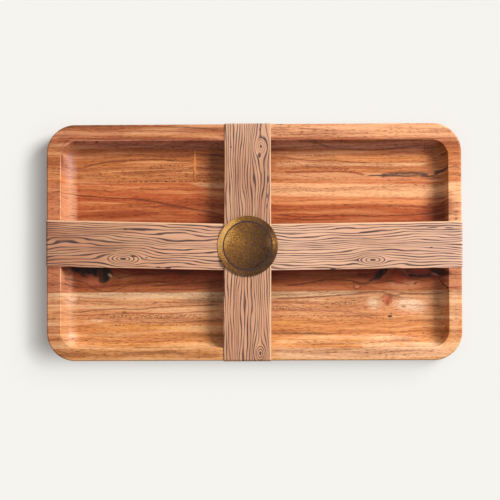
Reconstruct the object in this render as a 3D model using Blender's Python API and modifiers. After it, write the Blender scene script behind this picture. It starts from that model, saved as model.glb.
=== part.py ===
"""Hardwood appetizer tray, bound crosswise by two paper bands and closed by a round seal.

The tray is glued up from four staves, routed out to a flat recess with coved walls, and
rounded at its corners. Each band is one strip of paper that runs under the tray and up over
its rim, and laps on itself at the crossing. The seal covers both laps.

Lengths are in metres and +Z is up. X runs along the tray, and Y runs from its front to its
back. The origin lies under the middle of the tray, on the surface that it stands on.
"""

from math import copysign, cos, pi, radians, sin

import bmesh
import bpy

# Tray, outside
TRAY_LENGTH = 0.356
TRAY_WIDTH = 0.203
FLOOR_THICKNESS = 0.006
OUTER_CORNER_RADIUS = 0.0245
OUTER_ARRIS_RADIUS = 0.0015

# Flat land round the recess
LEFT_RIM_WIDTH = 0.0117
RIGHT_RIM_WIDTH = 0.0108
BACK_RIM_WIDTH = 0.0135
FRONT_RIM_WIDTH = 0.0105

# Recess wall, from the rim down: an eased edge, a short leaning wall and a round cove
RIM_ARRIS_RADIUS = 0.0008
WALL_HEIGHT = 0.0007
WALL_LEAN = 0.0008
COVE_RADIUS = 0.0125
FLOOR_CORNER_RADIUS = 0.001

# Staves, back to front, and the glue lines between them at the tray's left and right ends, as
# shares of the tray's width from its back. The front stave is not quite parallel.
STAVE_NAMES = ("back_stave", "mid_back_stave", "mid_front_stave", "front_stave")
GLUE_LINE_LEFT_SHARES = (0.245, 0.477, 0.712)
GLUE_LINE_RIGHT_SHARES = (0.245, 0.477, 0.704)
GLUE_GAP = 0.0003

# Paper bands. Each strip was cut by hand and tapers evenly from one end to the other.
PAPER_THICKNESS = 0.0003
FIT_GAP = 0.0003
LAP_LENGTH = 0.028
LAP_RAMP_LENGTH = 0.005
CROSSING_CLEARANCE = 0.001
LONG_BAND_LEFT_WIDTH = 0.0397
LONG_BAND_RIGHT_WIDTH = 0.0395
SHORT_BAND_BACK_WIDTH = 0.0394
SHORT_BAND_FRONT_WIDTH = 0.0407

# Where the bands' middles lie, from the middle of the tray. Both were laid on by hand.
LONG_BAND_LEFT_Y = -0.0002
LONG_BAND_RIGHT_Y = -0.0025
SHORT_BAND_BACK_X = -0.0048
SHORT_BAND_FRONT_X = -0.0058
CROSSING_X = -0.0051
CROSSING_Y = -0.0045

# Seal, a foil disc with one pressed ring, and how far its middle is off the crossing
SEAL_DIAMETER = 0.0516
SEAL_THICKNESS = 0.0003
SEAL_RING_DIAMETER = 0.0416
SEAL_RING_WIDTH = 0.0008
SEAL_RING_DEPTH = 0.00012
SEAL_SHIFT_X = -0.0001
SEAL_SHIFT_Y = 0.0012

# Facets
CORNER_SEGMENTS = 12
ARRIS_SEGMENTS = 3
COVE_SEGMENTS = 8
PAPER_BEND_SEGMENTS = 4
SEAL_SEGMENTS = 72
SEAL_BORDER_SEGMENTS = 4

# How far cutters run past what they cut
CUTTER_OVERRUN = 0.005
MERGE_DISTANCE = 0.00001

# Derived sizes and heights. Both bands pass under the tray, and each is two layers thick
# where it laps on itself.
PAPER_PITCH = PAPER_THICKNESS + FIT_GAP
LAYERS_UNDER_TRAY = 2
LAYERS_IN_LAP = 2
RECESS_DEPTH = RIM_ARRIS_RADIUS + WALL_HEIGHT + COVE_RADIUS
TRAY_HEIGHT = FLOOR_THICKNESS + RECESS_DEPTH
TRAY_UNDERSIDE_Z = LAYERS_UNDER_TRAY * PAPER_PITCH
RIM_Z = TRAY_UNDERSIDE_Z + TRAY_HEIGHT
BAND_ON_RIM_Z = RIM_Z + FIT_GAP
SHORT_BAND_CROSSING_Z = BAND_ON_RIM_Z + LAYERS_IN_LAP * PAPER_PITCH
SEAL_Z = SHORT_BAND_CROSSING_Z + LAYERS_IN_LAP * PAPER_PITCH
PAPER_BEND_RADIUS = OUTER_ARRIS_RADIUS + FIT_GAP
LONG_BAND_CROSSING_WIDTH = (LONG_BAND_LEFT_WIDTH + LONG_BAND_RIGHT_WIDTH) / 2
SHORT_BAND_CROSSING_WIDTH = (SHORT_BAND_BACK_WIDTH + SHORT_BAND_FRONT_WIDTH) / 2


def clear_scene():
    """Remove the objects that a new file starts with."""
    for obj in list(bpy.data.objects):
        bpy.data.objects.remove(obj)


def new_collection(name):
    """Add a collection to the scene and return it."""
    collection = bpy.data.collections.new(name)
    bpy.context.scene.collection.children.link(collection)
    return collection


def linear_colour(hex_code):
    """Turn an sRGB hex colour into the linear RGBA that a shader takes."""
    channels = [int(hex_code[i:i + 2], 16) / 255 for i in (1, 3, 5)]
    return [c / 12.92 if c <= 0.04045 else ((c + 0.055) / 1.055) ** 2.4 for c in channels] + [1]


def make_material(name, hex_code, roughness, metallic=0):
    """Make a plain Principled material."""
    material = bpy.data.materials.new(name)
    material.use_nodes = True
    shader = material.node_tree.nodes["Principled BSDF"]
    shader.inputs["Base Color"].default_value = linear_colour(hex_code)
    shader.inputs["Roughness"].default_value = roughness
    shader.inputs["Metallic"].default_value = metallic
    material.diffuse_color = linear_colour(hex_code)
    return material


def mesh_object(name, bm, collection, parent=None):
    """Turn a bmesh into an object in a collection."""
    mesh = bpy.data.meshes.new(name)
    bm.to_mesh(mesh)
    bm.free()
    obj = bpy.data.objects.new(name, mesh)
    collection.objects.link(obj)
    obj.parent = parent
    return obj


def empty_object(name, location, collection, parent=None):
    """Add an empty that carries other objects."""
    obj = bpy.data.objects.new(name, None)
    obj.location = location
    obj.parent = parent
    collection.objects.link(obj)
    return obj


def mark_as_cutter(obj):
    """Keep a cutter out of the picture and show it as wire."""
    obj.hide_render = True
    obj.display_type = "WIRE"


def add_boolean(obj, operation, cutter):
    """Add an exact Boolean with one cutter."""
    modifier = obj.modifiers.new(operation.lower(), "BOOLEAN")
    modifier.operation = operation
    modifier.object = cutter
    modifier.solver = "EXACT"


def shade_round(obj, angle_degrees=30):
    """Shade curved faces smooth and keep real edges sharp."""
    obj.data.shade_smooth()
    obj.data.set_sharp_from_angle(angle=radians(angle_degrees))


def arc(centre_u, centre_v, radius, start_degrees, end_degrees, segments):
    """Points of an arc, both ends included."""
    points = []
    for step in range(segments + 1):
        angle = radians(start_degrees + (end_degrees - start_degrees) * step / segments)
        points.append((centre_u + radius * cos(angle), centre_v + radius * sin(angle)))
    return points


def recess_outline(inset, corner_radius):
    """Plan outline of the recess, moved in from the rim's inner edge by inset."""
    left = -TRAY_LENGTH / 2 + LEFT_RIM_WIDTH + inset + corner_radius
    right = TRAY_LENGTH / 2 - RIGHT_RIM_WIDTH - inset - corner_radius
    front = -TRAY_WIDTH / 2 + FRONT_RIM_WIDTH + inset + corner_radius
    back = TRAY_WIDTH / 2 - BACK_RIM_WIDTH - inset - corner_radius
    corners = ((right, back, 0), (left, back, 90), (left, front, 180), (right, front, 270))
    outline = []
    for x, y, start in corners:
        outline += arc(x, y, corner_radius, start, start + 90, CORNER_SEGMENTS)
    return outline


def recess_section():
    """Inset and height of the recess wall, from above the rim down to the floor.

    The inset grows from the rim's inner edge towards the middle of the recess, and the
    height is measured from the tray's underside.
    """
    wall_top = TRAY_HEIGHT - RIM_ARRIS_RADIUS
    cove_top = FLOOR_THICKNESS + COVE_RADIUS
    wall_foot_inset = RIM_ARRIS_RADIUS + WALL_LEAN
    section = [(0, TRAY_HEIGHT + CUTTER_OVERRUN)]
    section += arc(0, wall_top, RIM_ARRIS_RADIUS, 90, 0, ARRIS_SEGMENTS)
    section += arc(wall_foot_inset + COVE_RADIUS, cove_top, COVE_RADIUS, 180, 270, COVE_SEGMENTS)
    return section


def make_tray_blank(collection, parent):
    """The whole tray's outer form: a slab with round corners and eased edges."""
    bm = bmesh.new()
    bmesh.ops.create_cube(bm, size=1)
    bmesh.ops.scale(bm, vec=(TRAY_LENGTH, TRAY_WIDTH, TRAY_HEIGHT), verts=bm.verts)
    bmesh.ops.translate(bm, vec=(0, 0, TRAY_HEIGHT / 2), verts=bm.verts)
    upright = [e for e in bm.edges if e.verts[0].co.z != e.verts[1].co.z]
    bmesh.ops.bevel(bm, geom=upright, offset=OUTER_CORNER_RADIUS, segments=CORNER_SEGMENTS,
                    profile=0.5, affect="EDGES")
    level = [e for e in bm.edges if e.calc_face_angle(0) > radians(80)]
    bmesh.ops.bevel(bm, geom=level, offset=OUTER_ARRIS_RADIUS, segments=ARRIS_SEGMENTS,
                    profile=0.5, affect="EDGES")
    blank = mesh_object("tray_blank", bm, collection, parent)
    mark_as_cutter(blank)
    return blank


def make_recess_cutter(collection, parent):
    """The form that the router takes out, lofted down from the rim to the floor."""
    corner_at_rim = FLOOR_CORNER_RADIUS + COVE_RADIUS + WALL_LEAN + RIM_ARRIS_RADIUS
    bm = bmesh.new()
    rings = []
    for inset, height in recess_section():
        outline = recess_outline(inset, corner_at_rim - inset)
        rings.append([bm.verts.new((x, y, height)) for x, y in outline])
    for upper, lower in zip(rings, rings[1:]):
        for index in range(len(upper)):
            after = (index + 1) % len(upper)
            bm.faces.new((upper[index], lower[index], lower[after], upper[after]))
    bm.faces.new(rings[0])
    bm.faces.new(reversed(rings[-1]))
    cutter = mesh_object("recess_cutter", bm, collection, parent)
    mark_as_cutter(cutter)
    return cutter


def stave_back_y(index, glue_line_shares):
    """Y of a stave's back face at one end of the tray, half a glue gap off the glue line."""
    if index == 0:
        return TRAY_WIDTH / 2 + CUTTER_OVERRUN
    return TRAY_WIDTH * (1 / 2 - glue_line_shares[index - 1]) - GLUE_GAP / 2


def stave_front_y(index, glue_line_shares):
    """Y of a stave's front face at one end of the tray, one glue gap off the next stave."""
    if index == len(glue_line_shares):
        return -TRAY_WIDTH / 2 - CUTTER_OVERRUN
    return stave_back_y(index + 1, glue_line_shares) + GLUE_GAP


def make_stave(index, blank, recess_cutter, material, collection, parent):
    """One stave: a long tapered board, shaped by the tray's outer form and the recess."""
    half_length = TRAY_LENGTH / 2 + CUTTER_OVERRUN
    bm = bmesh.new()
    bmesh.ops.create_cube(bm, size=1)
    for vertex in bm.verts:
        shares = GLUE_LINE_LEFT_SHARES if vertex.co.x < 0 else GLUE_LINE_RIGHT_SHARES
        face_y = stave_back_y if vertex.co.y > 0 else stave_front_y
        vertex.co.x = copysign(half_length, vertex.co.x)
        vertex.co.y = face_y(index, shares)
        vertex.co.z = TRAY_HEIGHT + CUTTER_OVERRUN if vertex.co.z > 0 else -CUTTER_OVERRUN
    stave = mesh_object(STAVE_NAMES[index], bm, collection, parent)
    stave.data.materials.append(material)
    add_boolean(stave, "INTERSECT", blank)
    add_boolean(stave, "DIFFERENCE", recess_cutter)
    return stave


def band_course(half_run, under_z, crossing_z, crossing_u, first_rim, last_rim,
                crossed_half_width):
    """Inner face of a band as (position, height, arm), from its under end to its upper end.

    The strip starts at the crossing, runs over the rim at the first end, passes under the
    tray, comes up over the rim at the last end and laps on its own start. The arm is 0 on
    the first arm, 1 on the last arm and between them in the run under the tray.
    """
    rim_z = BAND_ON_RIM_Z
    bend = PAPER_BEND_RADIUS
    inner_run = half_run + FIT_GAP - bend
    lap = LAP_LENGTH / 2
    ramp_foot = lap + FIT_GAP + LAP_RAMP_LENGTH
    level_half = max(crossed_half_width + CROSSING_CLEARANCE, ramp_foot)
    course = [(crossing_u + lap, crossing_z, 0),
              (crossing_u - level_half, crossing_z, 0),
              (-half_run + first_rim, rim_z, 0)]
    course += [(u, z, 0) for u, z in arc(-inner_run, rim_z - bend, bend, 90, 180,
                                         PAPER_BEND_SEGMENTS)]
    course += [(u, z, 0) for u, z in arc(-inner_run, under_z + bend, bend, 180, 270,
                                         PAPER_BEND_SEGMENTS)]
    course += [(u, z, 1) for u, z in arc(inner_run, under_z + bend, bend, 270, 360,
                                         PAPER_BEND_SEGMENTS)]
    course += [(u, z, 1) for u, z in arc(inner_run, rim_z - bend, bend, 0, 90,
                                         PAPER_BEND_SEGMENTS)]
    course += [(half_run - last_rim, rim_z, 1),
               (crossing_u + level_half, crossing_z, 1),
               (crossing_u + ramp_foot, crossing_z, 1),
               (crossing_u + lap + FIT_GAP, crossing_z + PAPER_PITCH, 1),
               (crossing_u - lap, crossing_z + PAPER_PITCH, 1)]
    return course


def make_band(name, course, half_run, crossing, first, last, material, collection, parent):
    """A paper strip along a course, whose arms aim at the crossing from either end.

    crossing is the (position, offset, width) of the strip at the crossing's middle, and first
    and last are its (offset, width) at the tray's two ends.
    """
    crossing_u, crossing_offset, crossing_width = crossing
    bm = bmesh.new()
    sides = []
    for u, z, arm in course:
        offset, width = last if arm else first
        end_u = half_run if arm else -half_run
        reach = (u - end_u) / (crossing_u - end_u) if z > RIM_Z else 0
        reach = max(reach, 0)
        middle = offset + (crossing_offset - offset) * reach
        half_width = (width + (crossing_width - width) * reach) / 2
        sides.append([bm.verts.new((u, middle + side * half_width, z)) for side in (-1, 1)])
    for (near, far), (next_near, next_far) in zip(sides, sides[1:]):
        bm.faces.new((near, far, next_far, next_near))
    band = mesh_object(name, bm, collection, parent)
    band.data.materials.append(material)
    shell = band.modifiers.new("paper", "SOLIDIFY")
    shell.thickness = PAPER_THICKNESS
    shell.offset = 1
    shell.use_even_offset = True
    shade_round(band)
    return band


def make_long_band(material, collection, parent):
    """The band along the tray, which lies next to the wood all round."""
    half_run = TRAY_LENGTH / 2
    course = band_course(half_run, TRAY_UNDERSIDE_Z - FIT_GAP, BAND_ON_RIM_Z, CROSSING_X,
                         LEFT_RIM_WIDTH, RIGHT_RIM_WIDTH, SHORT_BAND_CROSSING_WIDTH / 2)
    return make_band("long_band", course, half_run,
                     (CROSSING_X, CROSSING_Y, LONG_BAND_CROSSING_WIDTH),
                     (LONG_BAND_LEFT_Y, LONG_BAND_LEFT_WIDTH),
                     (LONG_BAND_RIGHT_Y, LONG_BAND_RIGHT_WIDTH), material, collection, parent)


def make_short_band(material, collection, parent):
    """The band across the tray, which passes over the long band and under it.

    It is laid out along its own X and turned, so that its X becomes the tray's Y and its Y
    points to the tray's left.
    """
    half_run = TRAY_WIDTH / 2
    course = band_course(half_run, TRAY_UNDERSIDE_Z - PAPER_PITCH - FIT_GAP,
                         SHORT_BAND_CROSSING_Z, CROSSING_Y, FRONT_RIM_WIDTH, BACK_RIM_WIDTH,
                         LONG_BAND_CROSSING_WIDTH / 2)
    band = make_band("short_band", course, half_run,
                     (CROSSING_Y, -CROSSING_X, SHORT_BAND_CROSSING_WIDTH),
                     (-SHORT_BAND_FRONT_X, SHORT_BAND_FRONT_WIDTH),
                     (-SHORT_BAND_BACK_X, SHORT_BAND_BACK_WIDTH), material, collection, parent)
    band.rotation_euler.z = pi / 2
    return band


def seal_profile():
    """Half section of the flat seal, from the middle of its face round to its underside."""
    ring = SEAL_RING_DIAMETER / 2
    border = ring + SEAL_RING_WIDTH / 2
    steps = range(SEAL_BORDER_SEGMENTS + 1)
    border_radii = [border + (SEAL_DIAMETER / 2 - border) * s / SEAL_BORDER_SEGMENTS for s in steps]
    profile = [(0, SEAL_THICKNESS),
               (ring - SEAL_RING_WIDTH / 2, SEAL_THICKNESS),
               (ring, SEAL_THICKNESS - SEAL_RING_DEPTH)]
    profile += [(radius, SEAL_THICKNESS) for radius in border_radii]
    profile += [(radius, 0) for radius in reversed(border_radii)]
    profile.append((0, 0))
    return profile


def seal_drop(x):
    """How far the seal bends down beside the short band, at x from the crossing's middle.

    It lies flat over the short band's upper layer, and its edge comes down on the long band.
    """
    top_half_width = SHORT_BAND_CROSSING_WIDTH / 2 + FIT_GAP
    full_drop = SEAL_Z - (BAND_ON_RIM_Z + PAPER_PITCH)
    share = (abs(x) - top_half_width) / (SEAL_DIAMETER / 2 - top_half_width)
    share = min(max(share, 0), 1)
    return full_drop * share * share * (3 - 2 * share)


def make_seal(material, collection, parent):
    """The foil seal: turned flat with its pressed ring, then bent down over the bands."""
    bm = bmesh.new()
    points = [bm.verts.new((radius, 0, height)) for radius, height in seal_profile()]
    for upper, lower in zip(points, points[1:]):
        bm.edges.new((upper, lower))
    seal = mesh_object("seal", bm, collection, parent)
    turn = seal.modifiers.new("turn", "SCREW")
    turn.steps = SEAL_SEGMENTS
    turn.render_steps = SEAL_SEGMENTS
    turn.use_merge_vertices = True
    turn.merge_threshold = MERGE_DISTANCE
    turned = seal.evaluated_get(bpy.context.evaluated_depsgraph_get())
    seal.data = bpy.data.meshes.new_from_object(turned)
    seal.modifiers.clear()
    seal.data.name = "seal"
    seal.data.materials.append(material)
    for vertex in seal.data.vertices:
        vertex.co.z -= seal_drop(vertex.co.x + SEAL_SHIFT_X)
    seal.location = (SEAL_SHIFT_X, SEAL_SHIFT_Y, 0)
    shade_round(seal)


def build():
    """Build the tray, its bands and its seal."""
    clear_scene()
    parts = new_collection("appetizer_tray")
    cutters = new_collection("cutters")

    stave_materials = (make_material("acacia_orange", "#B5713F", 0.5),
                       make_material("acacia_red", "#A95F38", 0.5),
                       make_material("acacia_dark", "#8A4B2C", 0.5),
                       make_material("acacia_light", "#C68A55", 0.5))
    paper = make_material("printed_kraft_paper", "#BC8D70", 0.8)
    foil = make_material("antique_gold_foil", "#8F6A38", 0.35, 1)

    tray = empty_object("tray_underside", (0, 0, TRAY_UNDERSIDE_Z), parts)
    blank = make_tray_blank(cutters, tray)
    recess_cutter = make_recess_cutter(cutters, tray)
    for index, material in enumerate(stave_materials):
        make_stave(index, blank, recess_cutter, material, parts, tray)

    wrapper = empty_object("wrapper", (0, 0, 0), parts)
    make_long_band(paper, parts, wrapper)
    make_short_band(paper, parts, wrapper)

    crossing = empty_object("crossing", (CROSSING_X, CROSSING_Y, SEAL_Z), parts, wrapper)
    make_seal(foil, parts, crossing)


build()
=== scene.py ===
# %% [markdown]
# # A hardwood serving tray, bound by two paper bands and closed by a foil seal
#
# The tray is glued up from four acacia staves and routed out to a flat recess. Two strips of
# printed kraft paper run round it crosswise, and a round foil sticker holds their ends.
# The construction is already made and packed, so this lesson loads it as a fixed frame and
# dresses it: finer meshes in the same places, and a finish for each surface.

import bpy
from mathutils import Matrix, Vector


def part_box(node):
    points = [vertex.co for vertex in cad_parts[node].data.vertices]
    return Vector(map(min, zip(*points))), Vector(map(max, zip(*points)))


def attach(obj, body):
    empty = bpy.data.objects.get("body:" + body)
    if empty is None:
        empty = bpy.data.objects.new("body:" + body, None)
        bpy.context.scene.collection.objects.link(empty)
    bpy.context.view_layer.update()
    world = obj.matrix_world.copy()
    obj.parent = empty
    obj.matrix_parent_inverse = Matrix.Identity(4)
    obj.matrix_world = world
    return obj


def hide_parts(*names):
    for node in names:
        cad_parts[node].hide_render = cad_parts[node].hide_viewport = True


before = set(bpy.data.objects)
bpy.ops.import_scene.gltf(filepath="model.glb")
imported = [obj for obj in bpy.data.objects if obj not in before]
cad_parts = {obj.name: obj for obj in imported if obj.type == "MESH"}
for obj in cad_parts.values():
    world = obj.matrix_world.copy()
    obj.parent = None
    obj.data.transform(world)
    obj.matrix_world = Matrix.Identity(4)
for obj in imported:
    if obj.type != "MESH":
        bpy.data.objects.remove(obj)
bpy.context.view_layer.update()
print("nodes:", sorted(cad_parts))

# %% Modules
from collections import namedtuple
from math import cos, hypot, pi, radians, sin

import bmesh
import bpy
from mathutils import Vector

# %% [markdown]
# ## Measure the frame
#
# Blender works in metres, and a wooden tray is drawn in millimetres, so one value turns the
# one into the other. The staves' boxes in the frame give the tray's outside, and the
# vertices at the two ends of a stave give the glue lines, one of which isn't quite square.

# %% Sizes taken from the frame
MM = 0.001
END_ZONE = 2 * MM
STAVES = ("back_stave", "mid_back_stave", "mid_front_stave", "front_stave")

stave_boxes = [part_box(name) for name in STAVES]
tray_low = Vector(min(low[axis] for low, high in stave_boxes) for axis in range(3))
tray_high = Vector(max(high[axis] for low, high in stave_boxes) for axis in range(3))
tray_size = tray_high - tray_low
rim_z = tray_high.z


def face_y(name, end_x, side):
    """Y of a stave's front (side -1) or back (side 1) face at one end of the tray."""
    near_end = [v.co.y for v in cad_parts[name].data.vertices
                if abs(v.co.x - end_x) < END_ZONE]
    return max(near_end) if side > 0 else min(near_end)


glue_lines = []
for behind, before in zip(STAVES, STAVES[1:]):
    ends = [Vector((x, (face_y(behind, x, -1) + face_y(before, x, 1)) / 2, 0))
            for x in (tray_low.x, tray_high.x)]
    glue_lines.append(ends)
print("tray in mm:", [round(v / MM, 1) for v in tray_size])
print("glue lines in mm:", [[round(end.y / MM, 1) for end in ends] for ends in glue_lines])

# %% [markdown]
# ## Helpers for modelling as by hand
#
# Each piece is shaped in edit mode with the same operators that the menus offer. An operator
# acts on what is selected, so one helper opens a piece for editing and another picks its
# faces or edges by their place.

# %% Edit mode helpers
CLOSE = MM / 10
FACING_UP = 0.99
SMOOTH_BELOW = radians(35)


def select_only(piece):
    """Make a piece the only selected object, and the active one."""
    bpy.ops.object.select_all(action="DESELECT")
    bpy.context.view_layer.objects.active = piece
    piece.select_set(True)


def open_piece(piece):
    """Open a piece, and no other, in edit mode."""
    select_only(piece)
    bpy.ops.object.mode_set(mode="EDIT")


def close_piece():
    """Leave edit mode."""
    bpy.ops.object.mode_set(mode="OBJECT")


def pick(kind, wanted):
    """Select the verts, edges or faces that wanted says yes to, and nothing else."""
    bpy.ops.mesh.select_mode(type={"verts": "VERT", "edges": "EDGE", "faces": "FACE"}[kind])
    bpy.ops.mesh.select_all(action="DESELECT")
    mesh = bpy.context.object.data
    bm = bmesh.from_edit_mesh(mesh)
    chosen = [item for item in getattr(bm, kind) if wanted(item)]
    for item in chosen:
        item.select_set(True)
    bm.select_flush_mode()
    bmesh.update_edit_mesh(mesh)
    return len(chosen)


def apply_modifier(piece, kind, **settings):
    """Add a modifier with its settings and apply it at once."""
    bpy.context.view_layer.objects.active = piece
    modifier = piece.modifiers.new(kind.lower(), kind)
    for name, value in settings.items():
        setattr(modifier, name, value)
    bpy.ops.object.modifier_apply(modifier=modifier.name)


def bake_place(piece):
    """Put the piece's place, turn and size into its mesh, so that its object is at the origin."""
    select_only(piece)
    bpy.ops.object.transform_apply(location=True, rotation=True, scale=True)


def shade_smooth(piece):
    """Shade a piece smooth, apart from its sharp edges."""
    select_only(piece)
    bpy.ops.object.shade_smooth_by_angle(angle=SMOOTH_BELOW)


# %% [markdown]
# ## The tray as one board
#
# The real tray is glued up first and shaped after, so that the recess and the round corners
# run on across the glue lines. The mesh is made in that order too. A cube gets its size, its
# upright edges are bevelled to the corner radius, and its top and bottom edges get a small
# round, as from sandpaper. A Boolean could cut the recess, but it would leave long thin
# faces, which shade badly. Insetting the top face step by step gives clean rings instead.

# %% Outer form
OUTER_CORNER_RADIUS = 24.5 * MM
OUTER_ARRIS_RADIUS = 1.5 * MM
CORNER_SEGMENTS = 18
ARRIS_SEGMENTS = 5
SQUARE_EDGE = radians(80)

bpy.ops.object.select_all(action="DESELECT")
bpy.ops.mesh.primitive_cube_add(size=1, location=(tray_low + tray_high) / 2, scale=tray_size)
board = bpy.context.object
board.name = "board"
bake_place(board)
open_piece(board)
pick("edges", lambda e: abs(e.verts[0].co.z - e.verts[1].co.z) > MM)
bpy.ops.mesh.bevel(offset=OUTER_CORNER_RADIUS, segments=CORNER_SEGMENTS, profile=0.5)
pick("edges", lambda e: e.calc_face_angle(0) > SQUARE_EDGE)
bpy.ops.mesh.bevel(offset=OUTER_ARRIS_RADIUS, segments=ARRIS_SEGMENTS, profile=0.5)
close_piece()
print("board faces:", len(board.data.polygons))

# %% [markdown]
# The rim isn't equally wide on its four sides. The top face is first inset evenly, which also
# brings the corner radius down to that of the recess, and then each half of the new outline is
# pushed to its own rim width. A corner moves as a whole, so it stays round.

# %% Outline of the recess
RIM_WIDTHS = {"left": 11.7 * MM, "right": 10.8 * MM, "back": 13.5 * MM, "front": 10.5 * MM}
RIM_ARRIS_RADIUS = 0.7 * MM
WALL_HEIGHT = 0.3 * MM
WALL_LEAN = 0.1 * MM
COVE_RADIUS = 13 * MM
FLOOR_CORNER_RADIUS = 1.3 * MM
RECESS_CORNER_RADIUS = FLOOR_CORNER_RADIUS + COVE_RADIUS + WALL_LEAN + RIM_ARRIS_RADIUS

even_rim = OUTER_CORNER_RADIUS - RECESS_CORNER_RADIUS
open_piece(board)
pick("faces", lambda f: f.normal.z > FACING_UP)
bpy.ops.mesh.inset(thickness=even_rim - OUTER_ARRIS_RADIUS, use_even_offset=True)
middle = (tray_low + tray_high) / 2


def on_recess_outline(v):
    """Whether a vertex is on the rim, and in from all four sides by the even rim's width."""
    insets = [tray_size[axis] / 2 - abs(v.co[axis] - middle[axis]) for axis in (0, 1)]
    return abs(v.co.z - rim_z) < CLOSE and min(insets) > even_rim - CLOSE


for side, axis, sign in (("left", 0, -1), ("right", 0, 1), ("back", 1, 1), ("front", 1, -1)):
    push = Vector((0, 0, 0))
    push[axis] = -sign * (RIM_WIDTHS[side] - even_rim)
    pick("verts", lambda v: on_recess_outline(v) and sign * (v.co[axis] - middle[axis]) > 0)
    bpy.ops.transform.translate(value=push)
close_piece()
print("rim widths in mm:", [round(width / MM, 1) for width in RIM_WIDTHS.values()])

# %% [markdown]
# ## Rout the recess
#
# A router with a round-nosed cutter leaves a short wall, a cove and a flat floor. Each inset
# below takes the face in hand a little inwards and down, along an arc drawn as a section, so
# the mesh grows the way the cutter deepens its cut.

# %% Recess wall and floor
COVE_SEGMENTS = 14
RECESS_DEPTH = RIM_ARRIS_RADIUS + WALL_HEIGHT + COVE_RADIUS


def arc(centre_u, centre_v, radius, start_degrees, end_degrees, segments):
    """Points of an arc, both ends included."""
    angles = [radians(start_degrees + (end_degrees - start_degrees) * step / segments)
              for step in range(segments + 1)]
    return [(centre_u + radius * cos(a), centre_v + radius * sin(a)) for a in angles]


def recess_section():
    """Inset and height, from the rim's edge down to the recess floor."""
    wall_top = rim_z - RIM_ARRIS_RADIUS
    cove_top = wall_top - WALL_HEIGHT
    cove_inset = RIM_ARRIS_RADIUS + WALL_LEAN + COVE_RADIUS
    section = arc(0, wall_top, RIM_ARRIS_RADIUS, 90, 0, ARRIS_SEGMENTS)
    return section + arc(cove_inset, cove_top, COVE_RADIUS, 180, 270, COVE_SEGMENTS)


open_piece(board)
floor_faces = pick("faces", lambda f: (f.normal.z > FACING_UP
                                       and len(f.verts) > 4 * CORNER_SEGMENTS))
section = recess_section()
for (inset, height), (next_inset, next_height) in zip(section, section[1:]):
    bpy.ops.mesh.inset(thickness=next_inset - inset, depth=next_height - height,
                       use_even_offset=True)
close_piece()
floor_z = rim_z - RECESS_DEPTH
print("faces inset:", floor_faces, "recess floor at", round(floor_z / MM, 2), "mm")

# %% [markdown]
# ## Part the board into its four staves
#
# Each stave is a copy of the board, bisected at its glue lines and filled there, so it is a
# closed piece of wood of its own and its neighbours meet it face to face. The weighted
# normals keep the flat rim and floor flat to the eye beside the smooth coves.

# %% Four staves
CUT_TOLERANCE = MM / 1000
FLAT_FACE_WEIGHT = 80


def part_stave(index):
    """Copy the board and keep only what lies between two glue lines."""
    select_only(board)
    bpy.ops.object.duplicate()
    stave = bpy.context.object
    stave.name = STAVES[index] + "_wood"
    open_piece(stave)
    cuts = []
    if index > 0:
        cuts.append((glue_lines[index - 1], 1))
    if index < len(glue_lines):
        cuts.append((glue_lines[index], -1))
    for (left, right), side in cuts:
        along = right - left
        bpy.ops.mesh.select_all(action="SELECT")
        bpy.ops.mesh.bisect(plane_co=left, plane_no=Vector((-along.y, along.x, 0)).normalized(),
                            use_fill=True, clear_inner=side < 0, clear_outer=side > 0,
                            threshold=CUT_TOLERANCE)
    close_piece()
    shade_smooth(stave)
    apply_modifier(stave, "WEIGHTED_NORMAL", keep_sharp=True, weight=FLAT_FACE_WEIGHT)
    return stave


staves = [part_stave(index) for index in range(len(STAVES))]
bpy.data.objects.remove(board)
for stave in staves:
    print(stave.name, "faces:", len(stave.data.polygons))

# %% [markdown]
# ## Paper bands
#
# A band is one strip of kraft paper, laid round the tray and lapped on itself under the seal.
# It could be a plane bent by a curve, but paper only folds one way and never stretches, so
# the strip is laid as a hand lays it: its end edge is extruded from station to station, over
# the rim, under the tray and back. While that happens, the distance along the paper is kept
# in a UV map, as the flat strip was printed. The print then turns over the edges unstretched.

# %% Course of a band
PAPER_THICKNESS = 0.3 * MM
FIT_GAP = 0.3 * MM
LAP_LENGTH = 28 * MM
LAP_RAMP = 5 * MM
CROSSING_CLEARANCE = 1 * MM
BEND_SEGMENTS = 6
PAPER_PITCH = PAPER_THICKNESS + FIT_GAP

band_on_rim_z = rim_z + FIT_GAP
bend_radius = OUTER_ARRIS_RADIUS + FIT_GAP


def band_course(half_run, first_rim, last_rim, under_z, crossing, crossed_half_width):
    """Inner face of a band as (position, height, arm), laid from the crossing round to it again.

    crossing is its (position, height). The arm is 0 on the first arm and 1 on the last.
    """
    crossing_u, crossing_z = crossing
    run = half_run + FIT_GAP - bend_radius
    lap = LAP_LENGTH / 2
    ramp_foot = lap + FIT_GAP + LAP_RAMP
    level_half = max(crossed_half_width + CROSSING_CLEARANCE, ramp_foot)
    rim = band_on_rim_z
    course = [(crossing_u + lap, crossing_z, 0), (crossing_u - level_half, crossing_z, 0)]
    course.append((-half_run + first_rim, rim, 0))
    for centre_u, centre_z, start, arm in ((-run, rim - bend_radius, 90, 0),
                                           (-run, under_z + bend_radius, 180, 0),
                                           (run, under_z + bend_radius, 270, 1),
                                           (run, rim - bend_radius, 0, 1)):
        bend = arc(centre_u, centre_z, bend_radius, start, start + 90, BEND_SEGMENTS)
        course += [(u, z, arm) for u, z in bend]
    course += [(half_run - last_rim, rim, 1),
               (crossing_u + level_half, crossing_z, 1),
               (crossing_u + ramp_foot, crossing_z, 1),
               (crossing_u + lap + FIT_GAP, crossing_z + PAPER_PITCH, 1),
               (crossing_u - lap, crossing_z + PAPER_PITCH, 1)]
    return course


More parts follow.
